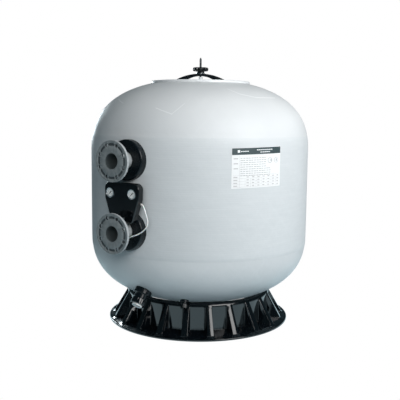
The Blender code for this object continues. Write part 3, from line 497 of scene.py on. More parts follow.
def circle(radius, height, sides):
    if radius == 0:
        return [(0.0, 0.0, height)]
    turns = [2 * math.pi * i / sides for i in range(sides)]
    return [(radius * math.cos(turn), radius * math.sin(turn), height) for turn in turns]


def turned(outline, sides):
    """A solid of revolution about local Z. Its outline is (radius, height) points, axis to axis or a loop."""
    return loft([circle(radius, height, sides) for radius, height in outline], outline[0][0] > 0)


def prism(outline, low, high):
    return loft([[(x, y, z) for x, y in outline] for z in (low, high)], False)


def round_outline(radius, sides):
    return [(x, y) for x, y, _ in circle(radius, 0.0, sides)]


def eased(outline, width, steps=3):
    """An outline with each corner sharper than 20 degrees cut back by at most width and rounded."""
    points = []
    count = len(outline)
    for i, here in enumerate(outline):
        before, after = outline[i - 1], outline[(i + 1) % count]
        on_axis = here[0] == 0
        a = Vector((before[0] - here[0], before[1] - here[1]))
        b = Vector((after[0] - here[0], after[1] - here[1]))
        if on_axis or a.length == 0 or b.length == 0 or a.angle(b) > math.radians(160):
            points.append(here)
            continue
        reach = min(width, a.length * 0.45, b.length * 0.45)
        start = Vector(here) + a.normalized() * reach
        end = Vector(here) + b.normalized() * reach
        for step in range(steps + 1):
            share = step / steps
            point = start * (1 - share) ** 2 + 2 * Vector(here) * share * (1 - share) + end * share**2
            points.append((max(point.x, 0.0), point.y))
    return points


def rounded(corners, steps=10):
    """An outline with each corner (x, y, radius) of a convex, anticlockwise polygon replaced by an arc."""
    points = []
    for i, (x, y, radius) in enumerate(corners):
        here = Vector((x, y))
        before = (Vector(corners[i - 1][:2]) - here).normalized()
        after = (Vector(corners[(i + 1) % len(corners)][:2]) - here).normalized()
        half = before.angle(after) / 2
        centre = here + (before + after).normalized() * (radius / math.sin(half))
        first = here + before * (radius / math.tan(half)) - centre
        sweep = math.pi - 2 * half
        for step in range(steps + 1):
            points.append(tuple(centre + Matrix.Rotation(sweep * step / steps, 2) @ first))
    return points


def carve(piece, shape, place, operation="DIFFERENCE"):
    """Adds a Boolean with a solid, which settle removes again."""
    cutter = finished(f"{piece.name}_tool", shape, place, None)
    cut = piece.modifiers.new(operation.title(), "BOOLEAN")
    cut.operation = operation
    cut.object = cutter
    return piece


def soften(piece, width, segments=3, angle=35.0):
    bevel = piece.modifiers.new("Soften", "BEVEL")
    bevel.width = width
    bevel.segments = segments
    bevel.limit_method = "ANGLE"
    bevel.angle_limit = math.radians(angle)
    bevel.use_clamp_overlap = True
    bevel.harden_normals = True
    return piece


def settle(piece, sharp=32.0):
    """Turns the modifiers' result into the mesh and removes the solids that they used."""
    bpy.context.view_layer.update()
    graph = bpy.context.evaluated_depsgraph_get()
    mesh = bpy.data.meshes.new_from_object(piece.evaluated_get(graph))
    tools = [modifier.object for modifier in piece.modifiers if modifier.type == "BOOLEAN"]
    piece.modifiers.clear()
    piece.data = mesh
    mesh.shade_smooth()
    mesh.set_sharp_from_angle(angle=math.radians(sharp))
    for used in tools:
        bpy.data.objects.remove(used, do_unlink=True)
    return piece


def stand_in(piece, node):
    """The piece takes a CAD node's place and body."""
    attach(piece, BODY_OF[node])
    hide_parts(node)
    return piece


def added(piece, body):
    """A piece of surface detail that rides on a body and replaces nothing."""
    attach(piece, body)
    return piece


# ---------------------------------------------------------------------------------------------------------
# Vessel, collar, base and label


def head(radius, rise, power, first_radius, steps):
    start = math.asin((first_radius / radius) ** (power / 2))
    points = []
    for step in range(steps + 1):
        turn = start + (math.pi / 2 - start) * step / steps
        across = radius * math.sin(turn) ** (2 / power)
        up = rise * max(math.cos(turn), 0.0) ** (2 / power)
        points.append((across, up if step < steps else 0.0))
    return points


def wall(inset, steps):
    radius = VESSEL_R - inset
    top = head(radius, TOP_RISE - inset, TOP_POWER, OPENING_R, steps)
    low = head(radius, LOW_DROP - inset, LOW_POWER, 0.0, steps)
    points = [(r, TOP_BASE + up) for r, up in top]
    return points + [(r, LOW_BASE - down) for r, down in reversed(low)]


def crown(radius):
    return TOP_BASE + TOP_RISE * (1 - (radius / VESSEL_R) ** TOP_POWER) ** (1 / TOP_POWER)


def underside(radius):
    return LOW_BASE - LOW_DROP * (1 - (radius / VESSEL_R) ** LOW_POWER) ** (1 / LOW_POWER)


def outer_radius(height):
    rise = max(height - TOP_BASE, 0.0) / TOP_RISE
    return VESSEL_R * (1 - rise**TOP_POWER) ** (1 / TOP_POWER)


def lower_radius(height):
    drop = max(LOW_BASE - height, 0.0) / LOW_DROP
    return VESSEL_R * (1 - drop**LOW_POWER) ** (1 / LOW_POWER)


def vessel_outline(steps):
    """The outside, with the wound band standing a little proud of the heads between the two seams."""
    points = []
    edge = 0.0012
    for radius, height in wall(0.0, steps):
        in_band = SEAM_LOW < height < SEAM_HIGH
        points.append((max(radius - (0.0 if in_band else SEAM_STEP), 0.0), height))
    seams = []
    for height, radius, sign in (
        (SEAM_HIGH, outer_radius(SEAM_HIGH), 1),
        (SEAM_LOW, lower_radius(SEAM_LOW), -1),
    ):
        seams.append((radius - SEAM_STEP, height + sign * edge))
        seams.append((radius, height - sign * edge))
    points = [p for p in points if all(abs(p[1] - s) > 0.004 for s in (SEAM_HIGH, SEAM_LOW))]
    return sorted(points + seams, key=lambda p: -p[1])


def make_vessel(material):
    steps, sides = 30, 144
    outline = vessel_outline(steps) + wall(VESSEL_WALL, steps // 2)[::-1]
    shell = finished("shell_skin", turned(outline, sides), AXIS, material, 50.0)
    for place in PORTS.values():
        carve(shell, prism(round_outline(SPIGOT_R + GAP, 32), VESSEL_R - 0.05, VESSEL_R + 0.05), place)
    carve(shell, prism(round_outline(0.0263, 24), -0.05, 0.05), SAND)
    carve(shell, prism(round_outline(0.0123, 24), -0.05, 0.05), WATER)
    stand_in(settle(shell, 50.0), "vessel_shell")


def oval_ring(long_half, short_half, height, sides, lean=0.0):
    """A ring of an oval whose short axis lies at an angle lean to local X."""
    turns = [2 * math.pi * i / sides - lean for i in range(sides)]
    ring = [Vector((short_half * math.cos(turn), long_half * math.sin(turn), height)) for turn in turns]
    return [Matrix.Rotation(lean, 3, "Z") @ point for point in ring]


def make_collar(material):
    """The rim: a rounded outer lip, a flat land, and an oval hole with a rounded edge."""
    sides, lip = 144, 0.006
    rest = 0.0004
    rings = []
    for step in range(7):
        turn = math.pi / 2 * step / 6
        radius = COLLAR_R - lip + lip * math.sin(turn)
        rings.append(circle(radius, COLLAR_TOP - lip + lip * math.cos(turn), sides))
    for radius in (COLLAR_R, COLLAR_R - 0.012, (OPENING_R + COLLAR_R) / 2, OPENING_R - GAP):
        rings.append(circle(radius, crown(radius) + rest, sides))
    rings.append(circle(OPENING_R - GAP, COLLAR_SEAT, sides))
    rings.append(oval_ring(HOLE_LONG, HOLE_SHORT, COLLAR_SEAT, sides, YOKE_TURN))
    round_edge = 0.005
    for step in range(6):
        turn = math.pi / 2 * step / 5
        out = round_edge * (1 - math.cos(turn))
        up = COLLAR_TOP - round_edge + round_edge * math.sin(turn)
        rings.append(oval_ring(HOLE_LONG + out, HOLE_SHORT + out, up, sides, YOKE_TURN))
    groove = 0.0015
    for radius, drop in ((0.236, 0.0), (0.238, groove), (0.244, groove), (0.246, 0.0)):
        rings.append(circle(radius, COLLAR_TOP - drop, sides))
    stand_in(finished("collar_skin", loft(rings, True), AXIS, material), "manhole_collar")


SKIRT_RIBS = 22
SKIRT_FIRST_RIB = math.radians(10.24)
SKIRT_TOP_R, SKIRT_TOP, SKIRT_FOOT_R, SKIRT_FOOT = 0.390, 0.172, 0.477, 0.023
SKIRT_FLANGE_R, SKIRT_FLANGE_THICK = half_width("skirt"), 0.010
RIB_HALF, POCKET_START = math.radians(2.0), math.radians(2.6)
RIB_INSIDE, POCKET_INSIDE = math.radians(1.4), math.radians(1.9)


def skirt_ring(rib_radius, pocket_radius, height, rib_half=RIB_HALF, pocket_start=POCKET_START):
    """A ring with three points on each rib and a row of points across the pocket beside it."""
    pitch = 2 * math.pi / SKIRT_RIBS
    across = 8
    points = []
    for rib in range(SKIRT_RIBS):
        centre = SKIRT_FIRST_RIB + rib * pitch
        turns = [(-rib_half, rib_radius), (0.0, rib_radius), (rib_half, rib_radius)]
        for step in range(across + 1):
            turns.append((pocket_start + (pitch - 2 * pocket_start) * step / across, pocket_radius))
        for angle, radius in turns:
            turn = centre + angle
            points.append((radius * math.sin(turn), -radius * math.cos(turn), height))
    return points


def make_skirt(material):
    """The ring base: a cone with a pocket between each two ribs, on a flat flange."""

    def cone(height):
        return SKIRT_TOP_R + (SKIRT_TOP - height) * (SKIRT_FOOT_R - SKIRT_TOP_R) / (SKIRT_TOP - SKIRT_FOOT)

    def inner(rib_radius, pocket_radius, height):
        return skirt_ring(rib_radius, pocket_radius, height, RIB_INSIDE, POCKET_INSIDE)

    lip, back, edge, thin, rest = 0.360, 0.400, SKIRT_FLANGE_R, 0.0055, 0.001
    rings = [
        skirt_ring(lip, lip, underside(lip) - rest),
        skirt_ring(0.375, 0.375, underside(0.375) - rest),
        skirt_ring(SKIRT_TOP_R - 0.001, SKIRT_TOP_R - 0.001, SKIRT_TOP + 0.002),
        skirt_ring(cone(0.158), cone(0.158), 0.158),
        skirt_ring(cone(0.153), (cone(0.153) + back) / 2, 0.152),
        skirt_ring(cone(0.146), back, 0.146),
        skirt_ring(cone(0.090), back + 0.002, 0.090),
        skirt_ring(cone(0.028), back + 0.004, 0.028),
        skirt_ring(cone(0.0215), 0.470, 0.020),
        skirt_ring(0.488, 0.488, 0.0125),
        skirt_ring(edge - 0.002, edge - 0.002, SKIRT_FLANGE_THICK),
        skirt_ring(edge, edge, SKIRT_FLANGE_THICK - 0.002),
        skirt_ring(edge, edge, 0.0),
        inner(0.492, 0.492, 0.0),
        inner(0.486, 0.486, 0.006),
        inner(0.474, back - 0.0015, 0.0155),
        inner(cone(0.026) - thin, back - 0.0015, 0.027),
        inner(cone(0.148) - thin, back - thin, 0.148),
        inner(cone(0.160) - thin, cone(0.160) - thin, 0.158),
        inner(lip, lip, underside(lip) - rest - thin),
    ]
    skirt = finished("skirt_skin", loft(rings, True), AXIS, material)
    soften(skirt, 0.0022, 3, 28.0)
    stand_in(settle(skirt, 60.0), "skirt")


LABEL_LEFT, LABEL_RIGHT = math.radians(49.8), math.radians(76.7)
LABEL_LOW, LABEL_HIGH = 0.790, 0.985
LABEL_SLOPE = math.radians(1.2)
LABEL_LIFT, LABEL_THICK = 0.0005, 0.0006
LABEL_WIDTH = VESSEL_R * (LABEL_RIGHT - LABEL_LEFT)
LABEL_TALL = LABEL_HIGH - LABEL_LOW


def on_label(across, up, lift):
    """A point of the label from its left and low edges, in metres, standing lift above the vessel."""
    turn = LABEL_LEFT + across / VESSEL_R
    height = LABEL_LOW + up + (across - LABEL_WIDTH / 2) * math.tan(LABEL_SLOPE)
    radius = outer_radius(height) + lift
    return (radius * math.sin(turn), -radius * math.cos(turn), height)


def label_sheet(shape, low, high, lift, thick):
    """Adds a thin curved rectangle between two corners (across, up) to the bmesh."""
    columns = max(1, round((high[0] - low[0]) / 0.008))
    rows = max(1, round((high[1] - low[1]) / 0.016))
    layers = []
    for level in (lift, lift + thick):
        grid = []
        for column in range(columns + 1):
            across = low[0] + (high[0] - low[0]) * column / columns
            line = []
            for row in range(rows + 1):
                up = low[1] + (high[1] - low[1]) * row / rows
                line.append(shape.verts.new(on_label(across, up, level)))
            grid.append(line)
        layers.append(grid)
    under, over = layers
    for column in range(columns):
        for row in range(rows):
            cell = ((column, row), (column + 1, row), (column + 1, row + 1), (column, row + 1))
            shape.faces.new([over[c][r] for c, r in cell])
            shape.faces.new([under[c][r] for c, r in reversed(cell)])
    ring = [(c, 0) for c in range(columns)] + [(columns, r) for r in range(rows)]
    ring += [(c, rows) for c in range(columns, 0, -1)] + [(0, r) for r in range(rows, 0, -1)]
    for i, (c, r) in enumerate(ring):
        d, s = ring[(i + 1) % len(ring)]
        shape.faces.new((under[c][r], under[d][s], over[d][s], over[c][r]))


def printed(name, boxes, lift, material):
    """One object of thin curved rectangles, for a colour printed on the label."""
    shape = bmesh.new()
    for low, high in boxes:
        label_sheet(shape, low, high, lift, 0.0001)
    bmesh.ops.recalc_face_normals(shape, faces=shape.faces[:])
    added(finished(name, shape, AXIS, material), "root")


def make_label(vinyl, slate, mid_grey, pale, white_ink):
    """A white plate with a dark heading, rows of grey strokes, a table and two round diagrams."""
    sheet = bmesh.new()
    label_sheet(sheet, (0.0, 0.0), (LABEL_WIDTH, LABEL_TALL), LABEL_LIFT, LABEL_THICK)
    bmesh.ops.recalc_face_normals(sheet, faces=sheet.faces[:])
    stand_in(finished("label_sheet", sheet, AXIS, vinyl), "label_plate")

    face = LABEL_LIFT + LABEL_THICK + 0.00015
    width, tall = LABEL_WIDTH, LABEL_TALL
    heading = 0.033
    printed("label_heading", [((0.001, tall - heading), (width - 0.001, tall - 0.001))], face, slate)

    marks = [((0.030, tall - 0.022), (0.042, tall - 0.010))]
    marks += [((0.046 + 0.011 * i, tall - 0.019), (0.055 + 0.011 * i, tall - 0.015)) for i in range(4)]
    marks += [((0.132 + 0.012 * i, tall - 0.014), (0.142 + 0.012 * i, tall - 0.010)) for i in range(8)]
    marks += [((0.152 + 0.012 * i, tall - 0.025), (0.162 + 0.012 * i, tall - 0.021)) for i in range(5)]
    printed("label_heading_marks", marks, face + 0.0002, white_ink)

    rows = []
    for row in range(9):
        up = tall - heading - 0.018 - 0.0105 * row
        indent = 0.045
        longest = 0.150 if row < 5 else 0.185
        for stroke in range(12):
            low = indent + 0.0145 * stroke
            size = 0.009 + 0.0035 * ((stroke * 7 + row * 5) % 3) / 2
            if low + size < indent + longest:
                rows.append(((low, up), (low + size, up + 0.0022)))
    printed("label_rows", rows, face, mid_grey)

    lines = [((0.040, 0.004), (0.0408, tall - heading - 0.006))]
    lines += [((0.006, up), (width - 0.008, up + 0.0007)) for up in (0.062, 0.048, 0.034, 0.020, 0.006)]
    lines += [((0.070 + 0.030 * i, 0.006), (0.0707 + 0.030 * i, 0.048)) for i in range(7)]
    printed("label_lines", lines, face, pale)

    cells = []
    for column in range(7):
        for row in range(4):
            low = (0.078 + 0.030 * column, 0.0105 + 0.014 * row)
            if low[0] + 0.012 < width - 0.006:
                cells.append((low, (low[0] + 0.012, low[1] + 0.0035)))
    cells += [((0.010, 0.0105 + 0.014 * row), (0.030, 0.0140 + 0.014 * row)) for row in range(4)]
    for i in range(3):
        top = tall - heading - 0.016 - 0.024 * i
        cells.append(((0.010, top - 0.004), (0.032, top)))
    printed("label_cells", cells, face, pale)

    rings = bmesh.new()
    for across in (0.212, 0.252):
        add_label_ring(rings, across, tall - heading - 0.032, 0.0125, 0.0008, face)
    for across in (0.216, 0.251):
        low, high = (across, tall - heading - 0.037), (across + 0.005, tall - heading - 0.026)
        label_sheet(rings, low, high, face, 0.0001)
    bmesh.ops.recalc_face_normals(rings, faces=rings.faces[:])
    added(finished("label_diagrams", rings, AXIS, mid_grey), "root")


def add_label_ring(shape, across, up, radius, half, lift):
    """A thin ring printed on the label."""
    sides = 28
    rows = []
    for reach, level in ((radius - half, 0), (radius + half, 0), (radius + half, 1), (radius - half, 1)):
        line = []
        for i in range(sides):
            turn = 2 * math.pi * i / sides
            x, y = across + reach * math.cos(turn), up + reach * math.sin(turn)
            line.append(shape.verts.new(on_label(x, y, lift + level * 0.0001)))
        rows.append(line)
    for k in range(4):
        for i in range(sides):
            j = (i + 1) % sides
            shape.faces.new((rows[k][i], rows[k][j], rows[(k + 1) % 4][j], rows[(k + 1) % 4][i]))


# ---------------------------------------------------------------------------------------------------------
# Ports


def make_port(name, black, grey, pipe):
    place = PORTS[name]
    pad = [
        (BORE_R, SPIGOT_END), (SPIGOT_R, SPIGOT_END), (SPIGOT_R, 0.588), (PAD_R, 0.588),
        (PAD_R, PAD_FACE - 0.009),
    ]
    for step in range(1, 9):
        turn = math.pi / 2 * step / 8
        pad.append((PAD_R - 0.009 * (1 - math.cos(turn)), PAD_FACE - 0.009 + 0.009 * math.sin(turn)))
    pad += [
        (TAIL_R + 0.0140, PAD_FACE), (TAIL_R + 0.0125, PAD_FACE - 0.0012),
        (TAIL_R + 0.0012, PAD_FACE - 0.0012), (TAIL_R + GAP, PAD_FACE - 0.0022), (TAIL_R + GAP, 0.600),
        (BORE_R, 0.600),
    ]
    stand_in(finished(f"{name}_pad_skin", turned(pad, 96), place, black), f"{name}_port_body")

    collar = FLANGE_FACE - 0.0105
    tail = (
        (BORE_R, 0.600 + GAP), (TAIL_R, 0.600 + GAP), (TAIL_R, collar), (TAIL_COLLAR_R, collar),
        (TAIL_COLLAR_R, FLANGE_FACE - 0.0005), (BORE_R, FLANGE_FACE - 0.0005),
    )
    tail_piece = finished(f"{name}_tail_skin", turned(eased(tail, 0.0012), 96), place, pipe)
    stand_in(tail_piece, f"{name}_tail_pipe")

    rim_step = 0.005
    blank = (
        (TAIL_R + GAP, FLANGE_BACK), (TAIL_R + 0.007, FLANGE_BACK),
        (TAIL_R + 0.008, FLANGE_BACK + rim_step), (FLANGE_R, FLANGE_BACK + rim_step),
        (FLANGE_R, FLANGE_FACE), (TAIL_COLLAR_R + GAP, FLANGE_FACE),
        (TAIL_COLLAR_R + GAP, collar - GAP), (TAIL_R + GAP, collar - GAP),
    )
    flange = finished(f"{name}_flange_skin", turned(blank, 96), place, grey)
    for i in range(BOLT_COUNT):
        turn = 2 * math.pi * (i + 0.5) / BOLT_COUNT
        middle_of_hole = Vector((BOLT_CIRCLE_R * math.cos(turn), BOLT_CIRCLE_R * math.sin(turn), 0))
        hole = prism(round_outline(BOLT_HOLE_R, 24), FLANGE_BACK - 0.01, FLANGE_FACE + 0.01)
        carve(flange, hole, place @ Matrix.Translation(middle_of_hole))
    for i in range(BOLT_COUNT):
        outline = arc_slot(2 * math.pi * i / BOLT_COUNT, math.radians(10.0), 0.0062)
        carve(flange, prism(outline, FLANGE_FACE - 0.0045, FLANGE_FACE + 0.01), place)
    soften(flange, 0.0011, 2, 40.0)
    stand_in(settle(flange), f"{name}_flange")


def arc_slot(middle_turn, half_angle, half_width_of_slot):
    """The outline of a slot with round ends, bent round the bolt circle."""
    points = []
    steps = 6
    for step in range(steps + 1):
        turn = middle_turn - half_angle + 2 * half_angle * step / steps
        points.append(((BOLT_CIRCLE_R + half_width_of_slot), turn))
    outline = [(reach * math.cos(turn), reach * math.sin(turn)) for reach, turn in points]
    outline += slot_end(middle_turn + half_angle, half_width_of_slot, 1)
    inner = [(BOLT_CIRCLE_R - half_width_of_slot, turn) for _, turn in reversed(points)]
    outline += [(reach * math.cos(turn), reach * math.sin(turn)) for reach, turn in inner]
    return outline + slot_end(middle_turn - half_angle, half_width_of_slot, -1)


def slot_end(turn, radius, sign):
    centre = Vector((BOLT_CIRCLE_R * math.cos(turn), BOLT_CIRCLE_R * math.sin(turn)))
    points = []
    for step in range(1, 5):
        swing = math.pi * step / 5
        start = turn if sign > 0 else turn + math.pi
        points.append(tuple(centre + radius * Vector((math.cos(start + swing), math.sin(start + swing)))))
    return points


# ---------------------------------------------------------------------------------------------------------
# Gauge panel and tube

PANEL_LOW, PANEL_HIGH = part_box("panel_cover")
PANEL_X = (PANEL_LOW[0] + PANEL_HIGH[0]) / 2
PANEL_FACE = AXIS_Y - PANEL_LOW[1]
PANEL_BACK = AXIS_Y - PANEL_HIGH[1]
PANEL_CORNERS = ((0.109, 0.807, 0.030), (0.107, 0.730, 0.040), (0.0665, 0.612, 0.018))
GAUGE_R = 0.0218


def panel_outline():
    right = list(PANEL_CORNERS)[::-1]
    left = [(-x, y, radius) for x, y, radius in reversed(right)]
    return [(x + PANEL_X, y) for x, y in rounded(right + left)]


def scaled_in(outline, inset):
    """The outline moved inwards by about inset, along each point's own normal."""
    moved = []
    for i, here in enumerate(outline):
        along = Vector(outline[(i + 1) % len(outline)]) - Vector(outline[i - 1])
        normal = Vector((-along.y, along.x)).normalized()
        moved.append(tuple(Vector(here) + normal * inset))
    return moved


def make_panel(material, steel):
    """A deep cover with a rounded front edge, hollow behind, with holes for the two gauges."""
    outline = panel_outline()
    edge, thick = 0.006, 0.003
    rings = []
    for inset, reach in ((0.0, PANEL_BACK), (0.0, PANEL_FACE - edge)):
        rings.append([(x, y, reach) for x, y in scaled_in(outline, inset)])
    for step in range(1, 7):
        turn = math.pi / 2 * step / 6
        inset, reach = edge * (1 - math.cos(turn)), PANEL_FACE - edge + edge * math.sin(turn)
        rings.append([(x, y, reach) for x, y in scaled_in(outline, inset)])
    cover = finished("panel_skin", loft(rings, False), FRONT, material)
    levels = (PANEL_BACK - 0.01, PANEL_FACE - 0.009)
    hollow = [[(x, y, z) for x, y in scaled_in(outline, thick)] for z in levels]
    hollow.append([(x, y, PANEL_FACE - thick) for x, y in scaled_in(outline, 0.008)])
    carve(cover, loft(hollow, False), FRONT)
    for side in ("left", "right"):
        place = joint(f"needle_{side}_turn")["pos_m"]
        hole = prism(round_outline(GAUGE_R, 48), PANEL_FACE - 0.02, PANEL_FACE + 0.02)
        carve(cover, hole, FRONT @ Matrix.Translation((place[0], place[2], 0)))
    stand_in(settle(cover), "panel_cover")

    at = FRONT @ Matrix.Translation((middle("panel_screw").x, middle("panel_screw").z, PANEL_FACE))
    outline = [(0.0, -0.012), (0.002, -0.012), (0.002, GAP), (0.005, GAP)]
    outline += [(0.005 * math.cos(t), GAP + 0.0032 * math.sin(t)) for t in (0.3, 0.6, 0.9, 1.2)]
    outline.append((0.0, GAP + 0.0032))
    screw = finished("panel_screw_skin", turned(outline, 32), at, steel)
    for turn in (0.0, math.pi / 2):
        long, wide = 0.0026, 0.0005
        corners = ((-long, -wide), (long, -wide), (long, wide), (-long, wide))
        carve(screw, prism(corners, 0.0018, 0.01), at @ Matrix.Rotation(turn + 0.4, 4, "Z"))
    stand_in(settle(screw), "panel_screw")


def make_gauge(side, chrome_paint, dial_paint, mark_paint, needle_paint):
    """Bezel and case, dial with its scale, and the needle."""
    x, _, z = joint(f"needle_{side}_turn")["pos_m"]
    place = FRONT @ Matrix.Translation((x, z, PANEL_FACE))
    case = (
        (0.0, -0.0325), (0.0045, -0.0325), (0.0045, -0.0270), (0.0215, -0.0270), (0.0215, GAP),
        (0.0250, GAP), (0.0250, 0.0062), (0.0214, 0.0062), (0.0208, 0.0050), (0.0208, 0.0040),
        (0.0198, 0.0040), (0.0198, -0.0002), (0.0165, -0.0002), (0.0165, -0.0240), (0.0, -0.0240),
    )
    skin = finished(f"gauge_skin_{side}", turned(eased(case, 0.0012), 64), place, chrome_paint)
    stand_in(skin, f"gauge_case_{side}")
    dial = ((0.0019, 0.0001), (0.0195, 0.0001), (0.0195, 0.0011), (0.0019, 0.0011))
    stand_in(finished(f"gauge_face_{side}", turned(dial, 64), place, dial_paint), f"gauge_dial_{side}")

    marks = bmesh.new()
    divisions = 40
    start, sweep = math.radians(225), math.radians(270)
    for i in range(divisions + 1):
        turn = start - sweep * i / divisions
        major = i % 5 == 0
        inner, outer, half = (0.0140, 0.0180, 0.00042) if major else (0.0158, 0.0178, 0.00018)
        across = Vector((-math.sin(turn), math.cos(turn)))
        ray = Vector((math.cos(turn), math.sin(turn)))
        corners = [ray * inner - across * half, ray * outer - across * half]
        corners += [ray * outer + across * half, ray * inner + across * half]
        add_plate(marks, corners, 0.00115, 0.00125)
    for i in range(0, divisions + 1, 10):
        turn = start - sweep * i / divisions
        centre = Vector((math.cos(turn), math.sin(turn))) * 0.0112
        add_plate(marks, [centre + Vector(c) for c in DIGIT_BOX], 0.00115, 0.00125)
    added(finished(f"gauge_scale_{side}", marks, place, mark_paint), "root")
    make_needle(side, x, z, needle_paint)


def make_needle(side, x, z, paint):
    """A broad pointer with a tail and a round hub, pointing at zero on the lower left."""
    side_of_blade = [(-0.0105, 0.0019), (0.0025, 0.0016), (0.0158, 0.0006)]
    blade = side_of_blade[::-1] + [(across, -up) for across, up in side_of_blade]
    thin, hub = 0.0012, 0.0030
    spindle = ((0.0, -0.0230), (thin, -0.0230), (thin, 0.0015), (hub, 0.0015), (hub, 0.0032), (0.0, 0.0034))
    at = FRONT @ Matrix.Translation((x, z, PANEL_FACE)) @ Matrix.Rotation(math.radians(225), 4, "Z")
    needle = finished(f"gauge_pointer_{side}", prism(blade, 0.0016, 0.0024), at, paint)
    carve(needle, turned(spindle, 32), at, "UNION")
    stand_in(settle(needle), f"gauge_needle_{side}")


DIGIT_BOX = ((-0.0011, -0.0014), (0.0011, -0.0014), (0.0011, 0.0014), (-0.0011, 0.0014))


def add_plate(shape, corners, low, high):
    """Adds a small flat plate with these corners to the bmesh."""
    rows = [[shape.verts.new((x, y, z)) for x, y in corners] for z in (low, high)]
    shape.faces.new(rows[0][::-1])
    shape.faces.new(rows[1])
    count = len(corners)
    for i in range(count):
        j = (i + 1) % count
        shape.faces.new((rows[0][i], rows[0][j], rows[1][j], rows[1][i]))


TUBE_R = 0.003
TUBE_ROUTE = (
    (0.1112, -0.5750, 0.7072),
    (0.1183, -0.5750, 0.7046),
    (0.1275, -0.5750, 0.6900),
    (0.1360, -0.5755, 0.6690),
    (0.1465, -0.5755, 0.6430),
    (0.1503, -0.5760, 0.6240),
    (0.1440, -0.5765, 0.6020),
    (0.1193, -0.5780, 0.5769),
    (0.0890, -0.5815, 0.5590),
    (0.0670, -0.5845, 0.5505),
    (0.0572, -0.5850, 0.5479),
)


def smooth_route(points, step):
    """Points about a step apart on a smooth curve through the route."""
    rows = [Vector(point) for point in points]
    rows = [2 * rows[0] - rows[1]] + rows + [2 * rows[-1] - rows[-2]]
    made = []
    for i in range(1, len(rows) - 2):
        before, here, after, beyond = rows[i - 1 : i + 3]
        count = max(1, round((after - here).length / step))
        for k in range(count):
            t = k / count
            even = 2 * here + (2 * before - 5 * here + 4 * after - beyond) * t**2
            odd = (after - before) * t + (3 * here - before - 3 * after + beyond) * t**3
            made.append(0.5 * (even + odd))
    return made + [rows[-2]]


def make_tube(material):
    curve = bpy.data.curves.new("pressure_tube_skin", "CURVE")
    curve.dimensions = "3D"
    curve.bevel_depth = TUBE_R
    curve.bevel_resolution = 5
    curve.use_fill_caps = True
    route = smooth_route(TUBE_ROUTE, 0.004)
    spline = curve.splines.new("POLY")
    spline.points.add(len(route) - 1)
    for point, place in zip(spline.points, route):
        point.co = (*place, 1.0)
    curve.materials.append(material)
    tube = bpy.data.objects.new("pressure_tube_skin", curve)
    bpy.context.scene.collection.objects.link(tube)
    stand_in(tube, "pressure_tube")


# ---------------------------------------------------------------------------------------------------------
# Lid, yoke, wheel and rod

ROD_R = 0.006
ROD_LOW, ROD_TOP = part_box("lid_rod")[0][2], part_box("lid_rod")[1][2]
WHEEL_HUB_LOW, WHEEL_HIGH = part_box("hand_wheel")[0][2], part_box("hand_wheel")[1][2]
WHEEL_LOW = 1.3753
WHEEL_R = 0.043
WHEEL_LOBES = 8
BUSH_R = 0.011


def make_rod(material):
    """A threaded rod with a pointed tip; the thread is a helix cut into its side."""
    sides, pitch, per_pitch, depth, tip = 24, 0.003, 6, 0.0007, 0.010
    rings = [[(0.0, 0.0, ROD_LOW)]]
    count = round((ROD_TOP - tip - ROD_LOW) / pitch * per_pitch)
    for row in range(count + 1):
        height = ROD_LOW + (ROD_TOP - tip - ROD_LOW) * row / count
        ring = []
        for i in range(sides):
            turn = 2 * math.pi * i / sides
            share = (height / pitch - i / sides) % 1.0
            cut = depth * min(max(2.2 * (1 - abs(2 * share - 1)) - 0.6, 0.0), 1.0)
            radius = ROD_R - cut
            ring.append((radius * math.cos(turn), radius * math.sin(turn), height))
        rings.append(ring)
    for share, radius in ((0.35, 0.0044), (0.75, 0.0022), (0.93, 0.0010)):
        rings.append(circle(radius, ROD_TOP - tip * (1 - share), sides))
    rings.append([(0.0, 0.0, ROD_TOP)])
    stand_in(finished("rod_skin", loft(rings, False), YOKE, material, 60.0), "lid_rod")


def make_wheel(material):
    """A star wheel: a round hub that widens to eight lobes, with a shallow dish on top."""
    sides = WHEEL_LOBES * 18

    def star(radius, depth, height):
        points = []
        for i in range(sides):
            turn = 2 * math.pi * i / sides
            reach = radius - depth * (0.5 - 0.5 * math.cos(WHEEL_LOBES * turn)) ** 1.4
            points.append((reach * math.cos(turn), reach * math.sin(turn), height))
        return points

    bore, hub = BUSH_R + GAP, 0.0215
    rings = [
        circle(bore, WHEEL_HUB_LOW, sides),
        circle(hub - 0.001, WHEEL_HUB_LOW, sides),
        circle(hub, WHEEL_HUB_LOW + 0.001, sides),
        circle(hub - 0.0015, WHEEL_LOW - 0.005, sides),
        circle(hub, WHEEL_LOW - 0.0015, sides),
        star(WHEEL_R - 0.010, 0.004, WHEEL_LOW),
    ]
    middle_height, half_height = (WHEEL_LOW + WHEEL_HIGH - 0.001) / 2, (WHEEL_HIGH - 0.001 - WHEEL_LOW) / 2
    for step in range(1, 12):
        turn = math.pi * step / 12 - math.pi / 2
        radius = WHEEL_R - 0.007 * (1 - math.cos(turn))
        depth = 0.0075 + 0.002 * math.cos(turn)
        rings.append(star(radius, depth, middle_height + half_height * math.sin(turn)))
    rings += [
        star(WHEEL_R - 0.011, 0.004, WHEEL_HIGH - 0.001),
        circle(0.0225, WHEEL_HIGH - 0.003, sides),
        circle(0.0185, WHEEL_HIGH - 0.002, sides),
        circle(0.0170, WHEEL_HIGH - 0.0004, sides),
        circle(0.0155, WHEEL_HIGH, sides),
        circle(bore, WHEEL_HIGH, sides),
    ]
    stand_in(finished("wheel_skin", loft(rings, True), YOKE, material, 50.0), "hand_wheel")


YOKE_TOP, YOKE_TOP_ARC = 1.3617, 0.290
YOKE_UNDER, YOKE_UNDER_ARC = 1.3496, 0.136
YOKE_REACH, YOKE_FOOT_IN, YOKE_TOE = 0.162, 0.0856, 0.0055
YOKE_HALF_MIDDLE, YOKE_HALF_END = 0.0225, 0.015


